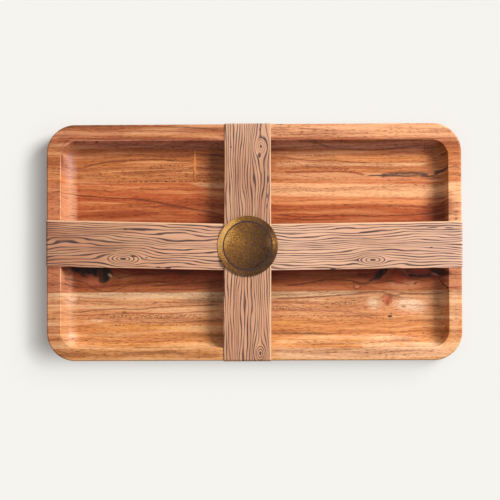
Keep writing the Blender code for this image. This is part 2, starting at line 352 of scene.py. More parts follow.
# %% [markdown]
# The two arms of a band aren't quite in line, because it was laid on by hand, and its cut
# edges aren't quite parallel. So each station also has the strip's middle and width, which
# change evenly from the tray's end to the crossing.

# %% Stations and the flat map
FLAT_MAP = "flat_paper"
ACROSS_CUTS = 9
ALONG_CUTS = 15
LONG_RUN = 60 * MM

paper_lengths = {}


def band_stations(course, half_run, crossing, first, last):
    """(position, middle, height, width) of the strip at each point of its course.

    crossing is (position, offset, width), and first and last are the (offset, width) of the
    strip at the tray's two ends.
    """
    crossing_u, crossing_offset, crossing_width = crossing
    stations = []
    for u, z, arm in course:
        offset, width = last if arm else first
        end_u = half_run if arm else -half_run
        reach = max((u - end_u) / (crossing_u - end_u), 0) if z > rim_z else 0
        stations.append((u, offset + (crossing_offset - offset) * reach, z,
                         width + (crossing_width - width) * reach))
    return stations


def lay_strip(name, stations):
    """Extrude a strip from station to station, and map it as it lay flat."""
    (u0, v0, z0, width0), (u1, v1, z1, width1) = stations[:2]
    bpy.ops.object.select_all(action="DESELECT")
    start = ((u0 + u1) / 2, v0, z0)
    bpy.ops.mesh.primitive_plane_add(size=1, location=start)
    strip = bpy.context.object
    strip.name = name
    bake_place(strip)
    open_piece(strip)
    bpy.ops.mesh.select_all(action="SELECT")
    bpy.ops.transform.resize(value=(abs(u1 - u0), width0, 1), center_override=start)
    pick("verts", lambda v: abs(v.co.x - u1) < CLOSE)
    bpy.ops.transform.translate(value=(0, v1 - v0, 0))
    bpy.ops.transform.resize(value=(1, width1 / width0, 1), center_override=(u1, v1, z1))
    for (u, v, z, width), (next_u, next_v, next_z, next_width) in zip(stations[1:], stations[2:]):
        step = (next_u - u, next_v - v, next_z - z)
        bpy.ops.mesh.extrude_region_move(TRANSFORM_OT_translate={"value": step})
        bpy.ops.transform.resize(value=(1, next_width / width, 1),
                                 center_override=(next_u, next_v, next_z))
    close_piece()
    map_flat(strip, stations)
    return strip


def map_flat(strip, stations):
    """Write each vertex's millimetres along and across the flat paper into a UV map."""
    corners = []
    along = 0
    for index, (u, v, z, width) in enumerate(stations):
        if index:
            last_u, _, last_z, _ = stations[index - 1]
            along += hypot(u - last_u, z - last_z)
        for side in (-1, 1):
            corners.append((Vector((u, v + side * width / 2, z)), along, side * width / 2))
    flat = strip.data.uv_layers.new(name=FLAT_MAP)
    for loop in strip.data.loops:
        place = strip.data.vertices[loop.vertex_index].co
        nearest = min(corners, key=lambda corner: (corner[0] - place).length)
        flat.data[loop.index].uv = (nearest[1] / MM, nearest[2] / MM)
    strip.data.uv_layers.active = flat
    paper_lengths[strip.name] = along
    print(strip.name, "is", round(along / MM), "mm of paper")


def finish_strip(strip):
    """Cut the strip finer, give it the paper's thickness and soften its look."""
    open_piece(strip)
    pick("edges", lambda e: abs(e.verts[0].co.y - e.verts[1].co.y) > LONG_RUN / 2)
    bpy.ops.mesh.subdivide(number_cuts=ACROSS_CUTS)
    pick("edges", lambda e: abs(e.verts[0].co.x - e.verts[1].co.x) > LONG_RUN)
    bpy.ops.mesh.subdivide(number_cuts=ALONG_CUTS)
    close_piece()
    apply_modifier(strip, "SOLIDIFY", thickness=PAPER_THICKNESS, offset=1, use_even_offset=True)
    shade_smooth(strip)


# %% [markdown]
# The long band lies next to the wood all round. The short band is laid out the same way along
# X and then turned a quarter, and it passes over the long band on top and under it below.

# %% Both bands
LONG_BAND = {"left_width": 39.7 * MM, "right_width": 39.5 * MM,
             "left_y": -0.2 * MM, "right_y": -2.5 * MM}
SHORT_BAND = {"back_width": 39.4 * MM, "front_width": 40.7 * MM,
              "back_x": -4.8 * MM, "front_x": -5.8 * MM}
CROSSING = Vector((-5.1 * MM, -4.5 * MM, 0))

half_length, half_width = tray_size.x / 2, tray_size.y / 2
long_crossing_width = (LONG_BAND["left_width"] + LONG_BAND["right_width"]) / 2
short_crossing_width = (SHORT_BAND["back_width"] + SHORT_BAND["front_width"]) / 2
short_crossing_z = band_on_rim_z + 2 * PAPER_PITCH

long_course = band_course(half_length, RIM_WIDTHS["left"], RIM_WIDTHS["right"],
                          tray_low.z - FIT_GAP, (CROSSING.x, band_on_rim_z),
                          short_crossing_width / 2)
long_band = lay_strip("long_band_paper",
                      band_stations(long_course, half_length,
                                    (CROSSING.x, CROSSING.y, long_crossing_width),
                                    (LONG_BAND["left_y"], LONG_BAND["left_width"]),
                                    (LONG_BAND["right_y"], LONG_BAND["right_width"])))
finish_strip(long_band)

short_course = band_course(half_width, RIM_WIDTHS["front"], RIM_WIDTHS["back"],
                           tray_low.z - PAPER_PITCH - FIT_GAP, (CROSSING.y, short_crossing_z),
                           long_crossing_width / 2)
short_band = lay_strip("short_band_paper",
                       band_stations(short_course, half_width,
                                     (CROSSING.y, -CROSSING.x, short_crossing_width),
                                     (-SHORT_BAND["front_x"], SHORT_BAND["front_width"]),
                                     (-SHORT_BAND["back_x"], SHORT_BAND["back_width"])))
finish_strip(short_band)
short_band.rotation_euler.z = pi / 2
bake_place(short_band)

# %% [markdown]
# ## Foil seal
#
# The seal is a die-cut disc of foil paper, with one ring pressed into it. A cylinder would do
# for the disc, but the seal isn't flat: it lies on the short band and droops past its two
# edges on to the long band. So it starts as a filled circle, which gets rings by inset, is
# bent down at its sides, and only then gets its thickness.

# %% Seal
SEAL_RADIUS = 25.8 * MM
SEAL_THICKNESS = 0.3 * MM
SEAL_MIDDLE = CROSSING + Vector((-0.1 * MM, 1.2 * MM, short_crossing_z + 2 * PAPER_PITCH))
RING_RADIUS = 20.8 * MM
RING_WIDTH = 0.8 * MM
RING_DEPTH = 0.12 * MM
SEAL_SIDES = 120
BORDER_STEPS = 6
FIELD_STEPS = 7


def seal_drop(x):
    """How far the seal bends down beside the short band, at x across the tray."""
    flat_half = short_crossing_width / 2 + FIT_GAP
    full_drop = SEAL_MIDDLE.z - band_on_rim_z - PAPER_PITCH
    share = min(max((abs(x - CROSSING.x) - flat_half) / (SEAL_RADIUS - flat_half), 0), 1)
    return full_drop * share * share * (3 - 2 * share)


bpy.ops.object.select_all(action="DESELECT")
bpy.ops.mesh.primitive_circle_add(vertices=SEAL_SIDES, radius=SEAL_RADIUS, fill_type="NGON",
                                  location=SEAL_MIDDLE + Vector((0, 0, SEAL_THICKNESS)))
seal = bpy.context.object
seal.name = "seal_foil"
bake_place(seal)
open_piece(seal)
pick("faces", lambda f: True)
border = (SEAL_RADIUS - RING_RADIUS - RING_WIDTH / 2) / BORDER_STEPS
field = (RING_RADIUS - RING_WIDTH / 2) / (FIELD_STEPS + 1)
insets = [(border, 0)] * BORDER_STEPS
insets += [(RING_WIDTH / 2, -RING_DEPTH), (RING_WIDTH / 2, RING_DEPTH)]
insets += [(field, 0)] * FIELD_STEPS
for thickness, depth in insets:
    bpy.ops.mesh.inset(thickness=thickness, depth=depth, use_even_offset=True)
bpy.ops.mesh.poke()
close_piece()
for vertex in seal.data.vertices:
    vertex.co.z -= seal_drop(vertex.co.x)
apply_modifier(seal, "SOLIDIFY", thickness=SEAL_THICKNESS, offset=-1, use_even_offset=True)
shade_smooth(seal)
print("seal faces:", len(seal.data.polygons))

# %% [markdown]
# ## Nodes written as lines of text
#
# A material is a graph of nodes. One function adds a node: values in order fill its inputs,
# a name with a capital fills the input of that name, and a small name sets the node itself.
# A value may be a number, or another node, which is then linked. Colours are written as sRGB
# hex codes, as a colour picker shows them, and one function turns them to linear light.

# %% Colour and node helpers
def linear(hex_code):
    """Linear RGBA of an sRGB hex code, by the curve of the sRGB standard."""
    channels = [int(hex_code[start:start + 2], 16) / 255 for start in (1, 3, 5)]
    return tuple(c / 12.92 if c <= 0.04045 else ((c + 0.055) / 1.055) ** 2.4
                 for c in channels) + (1,)


def fill(tree, socket, value):
    """Set a socket, or link it where the value is a node or one of a node's outputs."""
    if isinstance(value, bpy.types.Node):
        value = next(output for output in value.outputs if output.enabled)
    if isinstance(value, bpy.types.NodeSocket):
        tree.links.new(value, socket)
    else:
        socket.default_value = value


def add_node(tree, kind, *values, stops=None, path=None, **settings):
    """Add a shader node with its settings and links.

    stops are a colour ramp's (position, hex code), and path the points of a float curve.
    """
    node = tree.nodes.new("ShaderNode" + kind)
    for name, value in settings.items():
        if name[0].islower():
            setattr(node, name, value)
    if stops:
        ramp = node.color_ramp.elements
        while len(ramp) < len(stops):
            ramp.new(0.5)
        for element, (position, hex_code) in zip(ramp, stops):
            element.position = position
            element.color = linear(hex_code)
    if path:
        curve = node.mapping.curves[0]
        while len(curve.points) < len(path):
            curve.points.new(0.5, 0.5)
        for point, place in zip(curve.points, path):
            point.location = place
        node.mapping.update()
    fills = list(zip([socket for socket in node.inputs if socket.enabled], values))
    fills += [(node.inputs[name.replace("_", " ")], value)
              for name, value in settings.items() if name[0].isupper()]
    for socket, value in fills:
        fill(tree, socket, value)
    return node


def new_material(name):
    """A material with its node tree and its Principled BSDF."""
    material = bpy.data.materials.new(name)
    material.use_nodes = True
    tree = material.node_tree
    return material, tree, tree.nodes["Principled BSDF"]


def set_surface(tree, surface, **values):
    """Fill the shader's own sockets by their names."""
    for name, value in values.items():
        fill(tree, surface.inputs[name.replace("_", " ")], value)


def dress(piece, material):
    """Give a piece its one material."""
    piece.data.materials.clear()
    piece.data.materials.append(material)


# %% [markdown]
# ## Patterns on wood and paper
#
# Wood grain and printed grain lines are both noise drawn out along one direction, so they
# share a helper that is given its grain length and width in millimetres. Both also part and
# close again round a knot, as water does round a stone: what lies beside it is pushed aside.

# %% Drawn-out noise and the flow round a knot
Grain = namedtuple("Grain", "length width detail", defaults=(2.0,))

EASED = {"interpolation_type": "SMOOTHSTEP"}


def drawn_noise(tree, place, grain, seed):
    """Noise whose blobs are about the grain's length by its width in millimetres."""
    scaled = add_node(tree, "Mapping", Vector=place, Location=(seed, seed, 0),
                      Scale=(1 / grain.length, 1 / grain.width, 1))
    return add_node(tree, "TexNoise", Vector=scaled, Scale=1.0, Detail=grain.detail)


def knot_place(tree, place, middle, half_sizes, turn=0):
    """A place in the knot's own frame, in which its edge is 1 from its middle."""
    return add_node(tree, "Mapping", Vector=place, Location=(*middle, 0),
                    Rotation=(0, 0, radians(turn)), Scale=(*half_sizes, 1),
                    vector_type="TEXTURE")


def oval_distance(tree, place, middle, half_sizes, turn=0):
    """Distance from the middle of an oval, 1 at its edge."""
    seen = knot_place(tree, place, middle, half_sizes, turn)
    return add_node(tree, "VectorMath", seen, operation="LENGTH").outputs["Value"]


def flow_round(tree, place, line, middle, half_sizes, turn=0, power=-2):
    """The line coordinate, pushed aside by a knot. The push fades with distance to the power."""
    seen = knot_place(tree, place, middle, half_sizes, turn)
    distance = add_node(tree, "VectorMath", seen, operation="LENGTH").outputs["Value"]
    outside = add_node(tree, "Math", distance, 1.0, operation="MAXIMUM")
    fade = add_node(tree, "Math", outside, power, operation="POWER")
    side = add_node(tree, "SeparateXYZ", seen).outputs["Y"]
    push = add_node(tree, "Math", side, fade, operation="MULTIPLY")
    return add_node(tree, "Math", push, -half_sizes[1], line, operation="MULTIPLY_ADD")


# %% [markdown]
# ## Acacia
#
# Acacia is sawn, glued, routed, sanded and oiled. It is known by strong tones that change from board to
# board, by dark streaks and knots, and by open pores as short dark dashes. All of it follows the growth
# layers, which lean into the board, so a line on the floor of the recess runs on up the cove and over the
# rim. The pattern is therefore drawn in plan and shifted with height. First come the tones across the
# stave, then fine lines and pores, and last the figures that the eye remembers: streaks, patches and
# knots. Their places were picked on enlarged views of the photograph. A small program then turned those
# pixels into millimetres, rounded to half a millimetre, and another wrote the lists of places below. The
# widths, strengths and tones were typed one by one.
#
# An open pore of acacia is about 0.2 mm wide, far less than a pixel of the render, so the pores
# and the dots of a dotted streak are drawn coarser than real ones. The oil film is thin and
# uneven, so the gloss is weak and the roughness follows the fine lines.

# %% Acacia
Streak = namedtuple("Streak", "strength width path soft dotted", defaults=(0.7, False))
Patch = namedtuple("Patch", "strength middle half_sizes turn soft", defaults=(0, 0.7))
Knot = namedtuple("Knot", "middle half_sizes turn", defaults=(0,))

WANDER = Grain(90, 30)
WANDER_REACH = 9.0
RAGGED_EDGE = Grain(16, 3.5, 3.0)
RAGGED_REACH = 1.8
GROWTH = Grain(130, 5.5, 3.0)
FINE = Grain(36, 1.3, 4.0)
PORE = Grain(5.5, 0.55, 1.0)
FLECK = Grain(5, 1.0)
DOT = Grain(1.7, 1.1, 1.0)

# What a noise does: the levels between which it sets in, and its strength at either. The
# pores' full strength is left to the rows that they stand in.
GROWTH_SHADE = (0.48, 0.66, 0.0, 0.42)
FINE_SHADE = (0.46, 0.70, 0.0, 0.42)
FLECK_SHADE = (0.50, 0.68, 0.0, 0.4)
GROWTH_GLEAM = (0.50, 0.30, 0.0, 0.35)
FINE_GLEAM = (0.44, 0.28, 0.0, 0.3)
FIGURE_BREAKS = (0.3, 0.55, 0.65, 1.0)
DOT_EDGE = (0.48, 0.56, 0.0, 1.0)
PORE_EDGE = (0.55, 0.70, 0.0)
PORE_ROWS = (0.42, 0.6, 0.35, 0.9)
PORE_DEPTH = (0.58, 0.72, 1.0, 0.0)
OIL_ROUGHNESS = (0.3, 0.7, 0.38, 0.5)

PORE_TONE = "#5a2c16"
LINE_SHADE = "#a67a60"
OIL_GLOSS = 0.25
WOOD_BUMP = 0.25
WOOD_BUMP_DEPTH = 0.1 * MM
STREAK_FADE_SHARE = 0.06
EDGE_LEAN = 0.9


def growth_place(tree, lean):
    """X and growth coordinate in mm: the place in plan, carried down to the recess floor.

    On the tray's front and back edges the growth layers run down much steeper.
    """
    spot = add_node(tree, "TexCoord").outputs["Object"]
    axes = add_node(tree, "SeparateXYZ",
                    add_node(tree, "VectorMath", spot, (1 / MM,) * 3, operation="MULTIPLY"))
    height = add_node(tree, "Math", axes.outputs["Z"], floor_z / MM, operation="SUBTRACT")
    across = add_node(tree, "Math", height, -lean, axes.outputs["Y"], operation="MULTIPLY_ADD")
    off_middle = add_node(tree, "Math", axes.outputs["Y"], operation="ABSOLUTE")
    on_edge = add_node(tree, "MapRange", off_middle, (half_width - OUTER_ARRIS_RADIUS) / MM,
                       half_width / MM, 0.0, EDGE_LEAN, **EASED)
    below_rim = add_node(tree, "Math", axes.outputs["Z"], rim_z / MM, operation="SUBTRACT")
    across = add_node(tree, "Math", below_rim, on_edge, across, operation="MULTIPLY_ADD")
    return axes.outputs["X"], across


def streak_mask(tree, x, across, streak):
    """How strongly a streak colours each place: full along its path, faded at its ends."""
    first_x, last_x = streak.path[0][0], streak.path[-1][0]
    low = min(y for x_mm, y in streak.path) - streak.width
    high = max(y for x_mm, y in streak.path) + streak.width
    share = add_node(tree, "MapRange", x, first_x, last_x, 0.0, 1.0)
    path = [((x_mm - first_x) / (last_x - first_x), (y - low) / (high - low))
            for x_mm, y in streak.path]
    middle = add_node(tree, "FloatCurve", 1.0, share, path=path)
    middle = add_node(tree, "Math", middle, high - low, low, operation="MULTIPLY_ADD")
    off = add_node(tree, "Math", add_node(tree, "Math", across, middle, operation="SUBTRACT"),
                   operation="ABSOLUTE")
    to_end = add_node(tree, "Math", share, 0.5, operation="PINGPONG")
    strength = add_node(tree, "MapRange", to_end, 0.0, STREAK_FADE_SHARE, 0.0, streak.strength,
                        **EASED)
    return add_node(tree, "MapRange", off, streak.width, streak.width * (1 - streak.soft), 0.0,
                    strength, **EASED)


def patch_mask(tree, place, patch):
    """How strongly a patch colours each place: an oval with a soft edge."""
    distance = oval_distance(tree, place, patch.middle, patch.half_sizes, patch.turn)
    return add_node(tree, "MapRange", distance, 1.0, 1 - patch.soft, 0.0, patch.strength, **EASED)


def paint(tree, colour, figures, place, broken, dots):
    """Lay figures over a colour, all those of one tone in one coat."""
    axes = add_node(tree, "SeparateXYZ", place)
    for tone, members in figures.items():
        coat = None
        for figure in members:
            if isinstance(figure, Patch):
                mask = patch_mask(tree, place, figure)
            else:
                mask = streak_mask(tree, axes.outputs["X"], axes.outputs["Y"], figure)
                if figure.dotted:
                    mask = add_node(tree, "Math", mask, dots, operation="MULTIPLY")
            coat = add_node(tree, "Math", mask, coat, operation="MAXIMUM") if coat else mask
        coat = add_node(tree, "Math", coat, broken, operation="MULTIPLY")
        colour = add_node(tree, "Mix", coat, colour, linear(tone), data_type="RGBA")
    return colour


def acacia(name, seed, lean, tones, front_y, back_y, pale, broad, figures, knots=()):
    """Oiled acacia. tones are (share of the way from front to back, hex code).

    broad figures lie under the growth lines and the others over them, grouped by tone.
    """
    material, tree, surface = new_material(name)
    x, across = growth_place(tree, lean)
    place = add_node(tree, "CombineXYZ", x, across)
    wobble = drawn_noise(tree, place, RAGGED_EDGE, seed + 3)
    drawn_across = add_node(tree, "Math", across, RAGGED_REACH / 2, operation="SUBTRACT")
    drawn_across = add_node(tree, "Math", wobble, RAGGED_REACH, drawn_across,
                            operation="MULTIPLY_ADD")
    drawn_place = add_node(tree, "CombineXYZ", x, drawn_across)
    wander = drawn_noise(tree, place, WANDER, seed)
    line = add_node(tree, "Math", wander, WANDER_REACH, across, operation="MULTIPLY_ADD")
    for knot in knots:
        line = flow_round(tree, place, line, *knot)
    flow = add_node(tree, "CombineXYZ", x, line)
    growth = drawn_noise(tree, flow, GROWTH, seed + 1)
    fine = drawn_noise(tree, flow, FINE, seed + 2)
    pores = drawn_noise(tree, flow, PORE, seed + 4)
    fleck = drawn_noise(tree, flow, FLECK, seed + 5)
    dots = add_node(tree, "MapRange", drawn_noise(tree, flow, DOT, seed + 6), *DOT_EDGE, **EASED)
    broken = add_node(tree, "MapRange", fleck, *FIGURE_BREAKS, **EASED)

    share = add_node(tree, "MapRange", drawn_across, front_y, back_y, 0.0, 1.0)
    colour = add_node(tree, "ValToRGB", share, stops=tones)
    colour = paint(tree, colour, broad, drawn_place, broken, dots)
    for noise, effect in ((growth, GROWTH_SHADE), (fine, FINE_SHADE), (fleck, FLECK_SHADE)):
        mask = add_node(tree, "MapRange", noise, *effect, **EASED)
        colour = add_node(tree, "Mix", mask, colour, linear(LINE_SHADE), data_type="RGBA",
                          blend_type="MULTIPLY")
    for noise, effect in ((growth, GROWTH_GLEAM), (fine, FINE_GLEAM)):
        mask = add_node(tree, "MapRange", noise, *effect, **EASED)
        colour = add_node(tree, "Mix", mask, colour, linear(pale), data_type="RGBA")
    colour = paint(tree, colour, figures, drawn_place, broken, dots)
    pore_rows = add_node(tree, "MapRange", growth, *PORE_ROWS, **EASED)
    mask = add_node(tree, "MapRange", pores, *PORE_EDGE, pore_rows, **EASED)
    colour = add_node(tree, "Mix", mask, colour, linear(PORE_TONE), data_type="RGBA")
    depth = add_node(tree, "MapRange", pores, *PORE_DEPTH, **EASED)
    relief = add_node(tree, "Math", depth, fine, operation="ADD")
    bump = add_node(tree, "Bump", Strength=WOOD_BUMP, Distance=WOOD_BUMP_DEPTH, Height=relief)
    roughness = add_node(tree, "MapRange", fine, *OIL_ROUGHNESS, **EASED)
    set_surface(tree, surface, Base_Color=colour, Roughness=roughness, Normal=bump,
                Specular_IOR_Level=OIL_GLOSS)
    count = sum(len(members) for members in (*broad.values(), *figures.values()))
    print(name, "has", len(tree.nodes), "nodes and", count, "figures")
    return material


# %% [markdown]
# ## Back stave
#
# An orange board with a purplish tint low on its back wall, painted in for the colour of its shade there,
# pore rows on the floor, a short spike knot left of the short band and one long charcoal streak at its
# right end.

# %% Back stave
BACK_STAVE = acacia(
    "oiled_acacia_orange", 11, 0.18, front_y=51.8, back_y=99.5,
    tones=[(0.0, "#c37442"), (0.2, "#bc7242"), (0.45, "#b26735"), (0.6, "#a45b30"),
           (0.78, "#ac633f"), (1.0, "#b06d42")],
    pale="#ecb080",
    broad={
        # Wall at the back, low down, with its purplish tint of painted shade, and its foot
        "#c08068": [Streak(0.85, 2.8, [(-163.5, 84), (-115.5, 84), (-45.5, 83.5), (16, 83.5),
                                       (73.5, 82.5), (130, 83), (166, 82.5)], soft=0.5)],
        "#a86440": [Streak(0.6, 2.6, [(-176.5, 74), (-104, 77.5), (-26, 76), (39.5, 78), (85, 76),
                                      (141.5, 76)], soft=0.8)],
        # Rim
        "#e6a678": [Streak(0.9, 7.5, [(-1, 93.5), (39.5, 93), (106.5, 93), (180.5, 92.5)], soft=0.5)],
        "#d4925c": [Streak(0.55, 3, [(-114.5, 89.5), (-68, 90), (-25.5, 88.5)], soft=0.8)],
        "#8a4c30": [Streak(0.5, 2.5, [(-68, 95), (-45, 94.5), (-25.5, 93.5), (16, 94),
                                      (35, 92.5)], soft=0.8)],
        # Floor of the recess
        "#bc7038": [Streak(0.6, 2.6, [(-139.5, 66.5), (-97.5, 68), (-53, 67)], soft=0.8)],
        "#dc9658": [Streak(0.6, 1.6, [(-151, 57), (-97.5, 57), (-53, 56.5)], soft=0.8)],
        "#d98a4e": [Streak(0.7, 4, [(69, 73), (107.5, 71.5), (153, 72.5)], soft=0.8)],
        "#e8ae80": [Streak(0.7, 2.6, [(15.5, 67.5), (69, 67.5), (152.5, 67)], soft=0.8)],
        "#8a4a28": [Patch(0.6, (-36.5, 70), (14, 9))],
        # Left cove with a painted highlight and, at its foot by the back corner, a painted violet sheen;
        # the right cove; painted shade high in the back-left corner
        "#e8b090": [Patch(0.45, (-159, 61), (7, 16), soft=0.8)],
        "#a87c84": [Patch(0.5, (-160.5, 73), (4.5, 5), soft=0.8)],
        "#b87458": [Patch(0.6, (136, 78.5), (20, 4), soft=0.8)],
        "#8a4a34": [Patch(0.6, (-163, 85), (8, 8), soft=0.8)],
        # Beside the glue line at the right
        "#dc8c66": [Streak(0.7, 1.5, [(99.5, 55), (118.5, 54.5), (141.5, 54), (163.5, 53.5)])],
    },
    figures={
        # Growth lines on the rim and the wall
        "#5a2c1c": [
            Streak(0.6, 0.8, [(-165, 97), (-137.5, 98), (-96, 97.5), (-61.5, 96.5), (-25.5, 93)]),
            Streak(0.45, 0.7, [(-119, 92.5), (-91.5, 93.5), (-68, 93), (-45, 91)]),
            Streak(0.5, 0.7, [(16, 96), (34, 95.5), (54, 94), (73, 93)]),
            Streak(0.4, 0.6, [(16, 89.5), (39.5, 89.5), (68.5, 90.5), (106.5, 90)]),
            Streak(0.45, 0.6, [(138, 85.5), (162.5, 86), (170.5, 86.5)]),
        ],
        # Dark lines in the purplish tint
        "#442824": [
            Streak(0.5, 0.9, [(38.5, 85.5), (53, 84.5), (69, 81.5), (87, 80), (107.5, 79.5), (130, 81.5),
                              (147, 83)]),
            Streak(0.4, 0.8, [(53, 85.5), (84.5, 84.5), (112.5, 85), (140.5, 85.5)]),
            Streak(0.3, 1, [(-136, 84.5), (-104, 84), (-80.5, 83), (-26, 82)], soft=0.8),
        ],
        # Rows of pores on the floor
        "#6a3018": [
            Streak(0.8, 0.8, [(-152, 65), (-139.5, 68), (-116, 71.5), (-97.5, 72), (-83.5, 72.5),
                              (-69.5, 71), (-54, 70.5)], soft=0.6),
            Streak(0.6, 0.7, [(-120.5, 76.5), (-92.5, 75.5), (-54, 76)], dotted=True),
            Streak(0.9, 1.3, [(-90.5, 66), (-74, 67), (-60, 67)], soft=0.5, dotted=True),
            Streak(0.75, 0.8, [(-176.5, 60.5), (-166.5, 61.5), (-160.5, 60), (-151, 59), (-137, 59.5),
                               (-120.5, 61.5), (-89, 59.5)], soft=0.6, dotted=True),
            Streak(0.5, 0.6, [(-176.5, 58.5), (-166.5, 59), (-160.5, 57.5), (-151, 57.5),
                              (-120.5, 57.5)]),
            Streak(0.8, 1.2, [(-47, 76), (-36.5, 76.5), (-26, 75)]),
            Streak(0.7, 0.8, [(-48.5, 63.5), (-36.5, 64.5), (-26, 63)], dotted=True),
            Streak(0.8, 0.8, [(-48.5, 60), (-36.5, 60), (-26.5, 58.5)], dotted=True),
            Streak(0.8, 0.8, [(38.5, 76), (53, 75), (67, 75.5)], soft=0.6, dotted=True),
            Streak(0.7, 0.6, [(15.5, 75.5), (26, 74), (45, 71.5), (64.5, 71), (85, 69.5),
                              (103, 68.5)], soft=0.6),
            Streak(0.8, 1, [(15.5, 69), (31.5, 70), (43, 66.5), (64.5, 65),
                            (85, 63)], soft=0.6, dotted=True),
            Streak(0.7, 0.8, [(15.5, 59), (24.5, 59.5), (37, 58.5), (56.5, 56), (96, 54.5)], dotted=True),
            Streak(0.6, 0.7, [(15.5, 56), (39.5, 54.5), (69, 54)], dotted=True),
        ],
        # Pale lines between them
        "#e8a468": [
            Streak(0.5, 0.8, [(-136, 61), (-104.5, 63), (-69.5, 64), (-54, 64.5)], soft=0.8),
            Streak(0.4, 0.8, [(-116, 69.5), (-83.5, 70.5), (-54, 69.5)], soft=0.8),
        ],
        # Pores along the glue line
        "#3c1c10": [Streak(0.95, 0.7, [(-136, 54), (-97.5, 53.5), (-50.5, 53.5),
                                       (-26.5, 54)], soft=0.5, dotted=True)],
        # Redder rows, right of the short band
        "#7a2c18": [
            Streak(0.75, 1, [(25, 61), (51, 61), (69, 61.5), (85, 60.5), (97.5, 58)], soft=0.6),
            Streak(0.8, 0.9, [(54, 64.5), (69, 64), (79, 62.5), (91.5, 59),
                              (98, 57.5)], soft=0.5, dotted=True),
        ],
        # Charcoal streak: its wide stretches
        "#3a2822": [
            Streak(0.85, 2.6, [(109.5, 57.5), (123.5, 59), (133.5, 59.5), (143.5, 59),
                               (152.5, 57.5)], soft=0.75),
            Streak(0.85, 2, [(156, 60), (161.5, 60.5), (167, 61.5)], soft=0.75),
        ],
        # and its thin line, with the branches at its end
        "#382a2c": [
            Streak(0.9, 0.8, [(96.5, 57.5), (107.5, 57.5), (124.5, 57), (141.5, 57), (152.5, 57),
                              (158.5, 59), (167, 61.5)], soft=0.6),
            Streak(0.6, 0.6, [(152.5, 54), (163.5, 53.5), (167, 52)]),
            Streak(0.55, 0.6, [(167.5, 61), (172.5, 61), (178, 59)]),
            Streak(0.45, 0.5, [(167, 54), (172.5, 54), (178, 53)]),
        ],
        # Spike knot, and small dark marks
        "#d0803c": [Patch(0.85, (-51, 67.5), (1.3, 14.5), soft=0.5)],
        "#431808": [
            Patch(0.85, (-52, 60), (0.6, 4.6), soft=0.6),
            Patch(0.6, (-53, 79.5), (0.6, 1.2), soft=0.5),
            Patch(0.8, (-52, 54), (0.7, 0.8), soft=0.5),
            Patch(0.6, (117, 54), (1.3, 0.7), soft=0.5),
            Patch(0.7, (163.5, 74.5), (5, 1.2), soft=0.6),
        ],
        # Dark red marks in the corners of the recess
        "#6a1c10": [
            Patch(0.5, (148, 81), (0.7, 6)),
            Patch(0.65, (149, 76), (3, 1.2)),
            Patch(0.7, (-165, 69.5), (1, 9)),
            Patch(0.6, (-161.5, 84), (5.5, 1), turn=40),
        ],
        # Left cove: an even tone laid over its grain lines, partly painted sheen
        "#a06c60": [Patch(0.5, (-160, 66.5), (8, 19))],
        # Painted highlight along the inner edge of the left rim
        "#f4c898": [Patch(0.4, (-166, 59), (0.5, 18), soft=0.6)],
    },
    knots=[Knot((-51, 60), (0.8, 3))])

# %% [markdown]
# ## Second stave
#
# Red-brown at the left, with a wedge of pale sapwood that widens to the right along the glue
# line. Two dark growth lines run the whole way and bow gently.

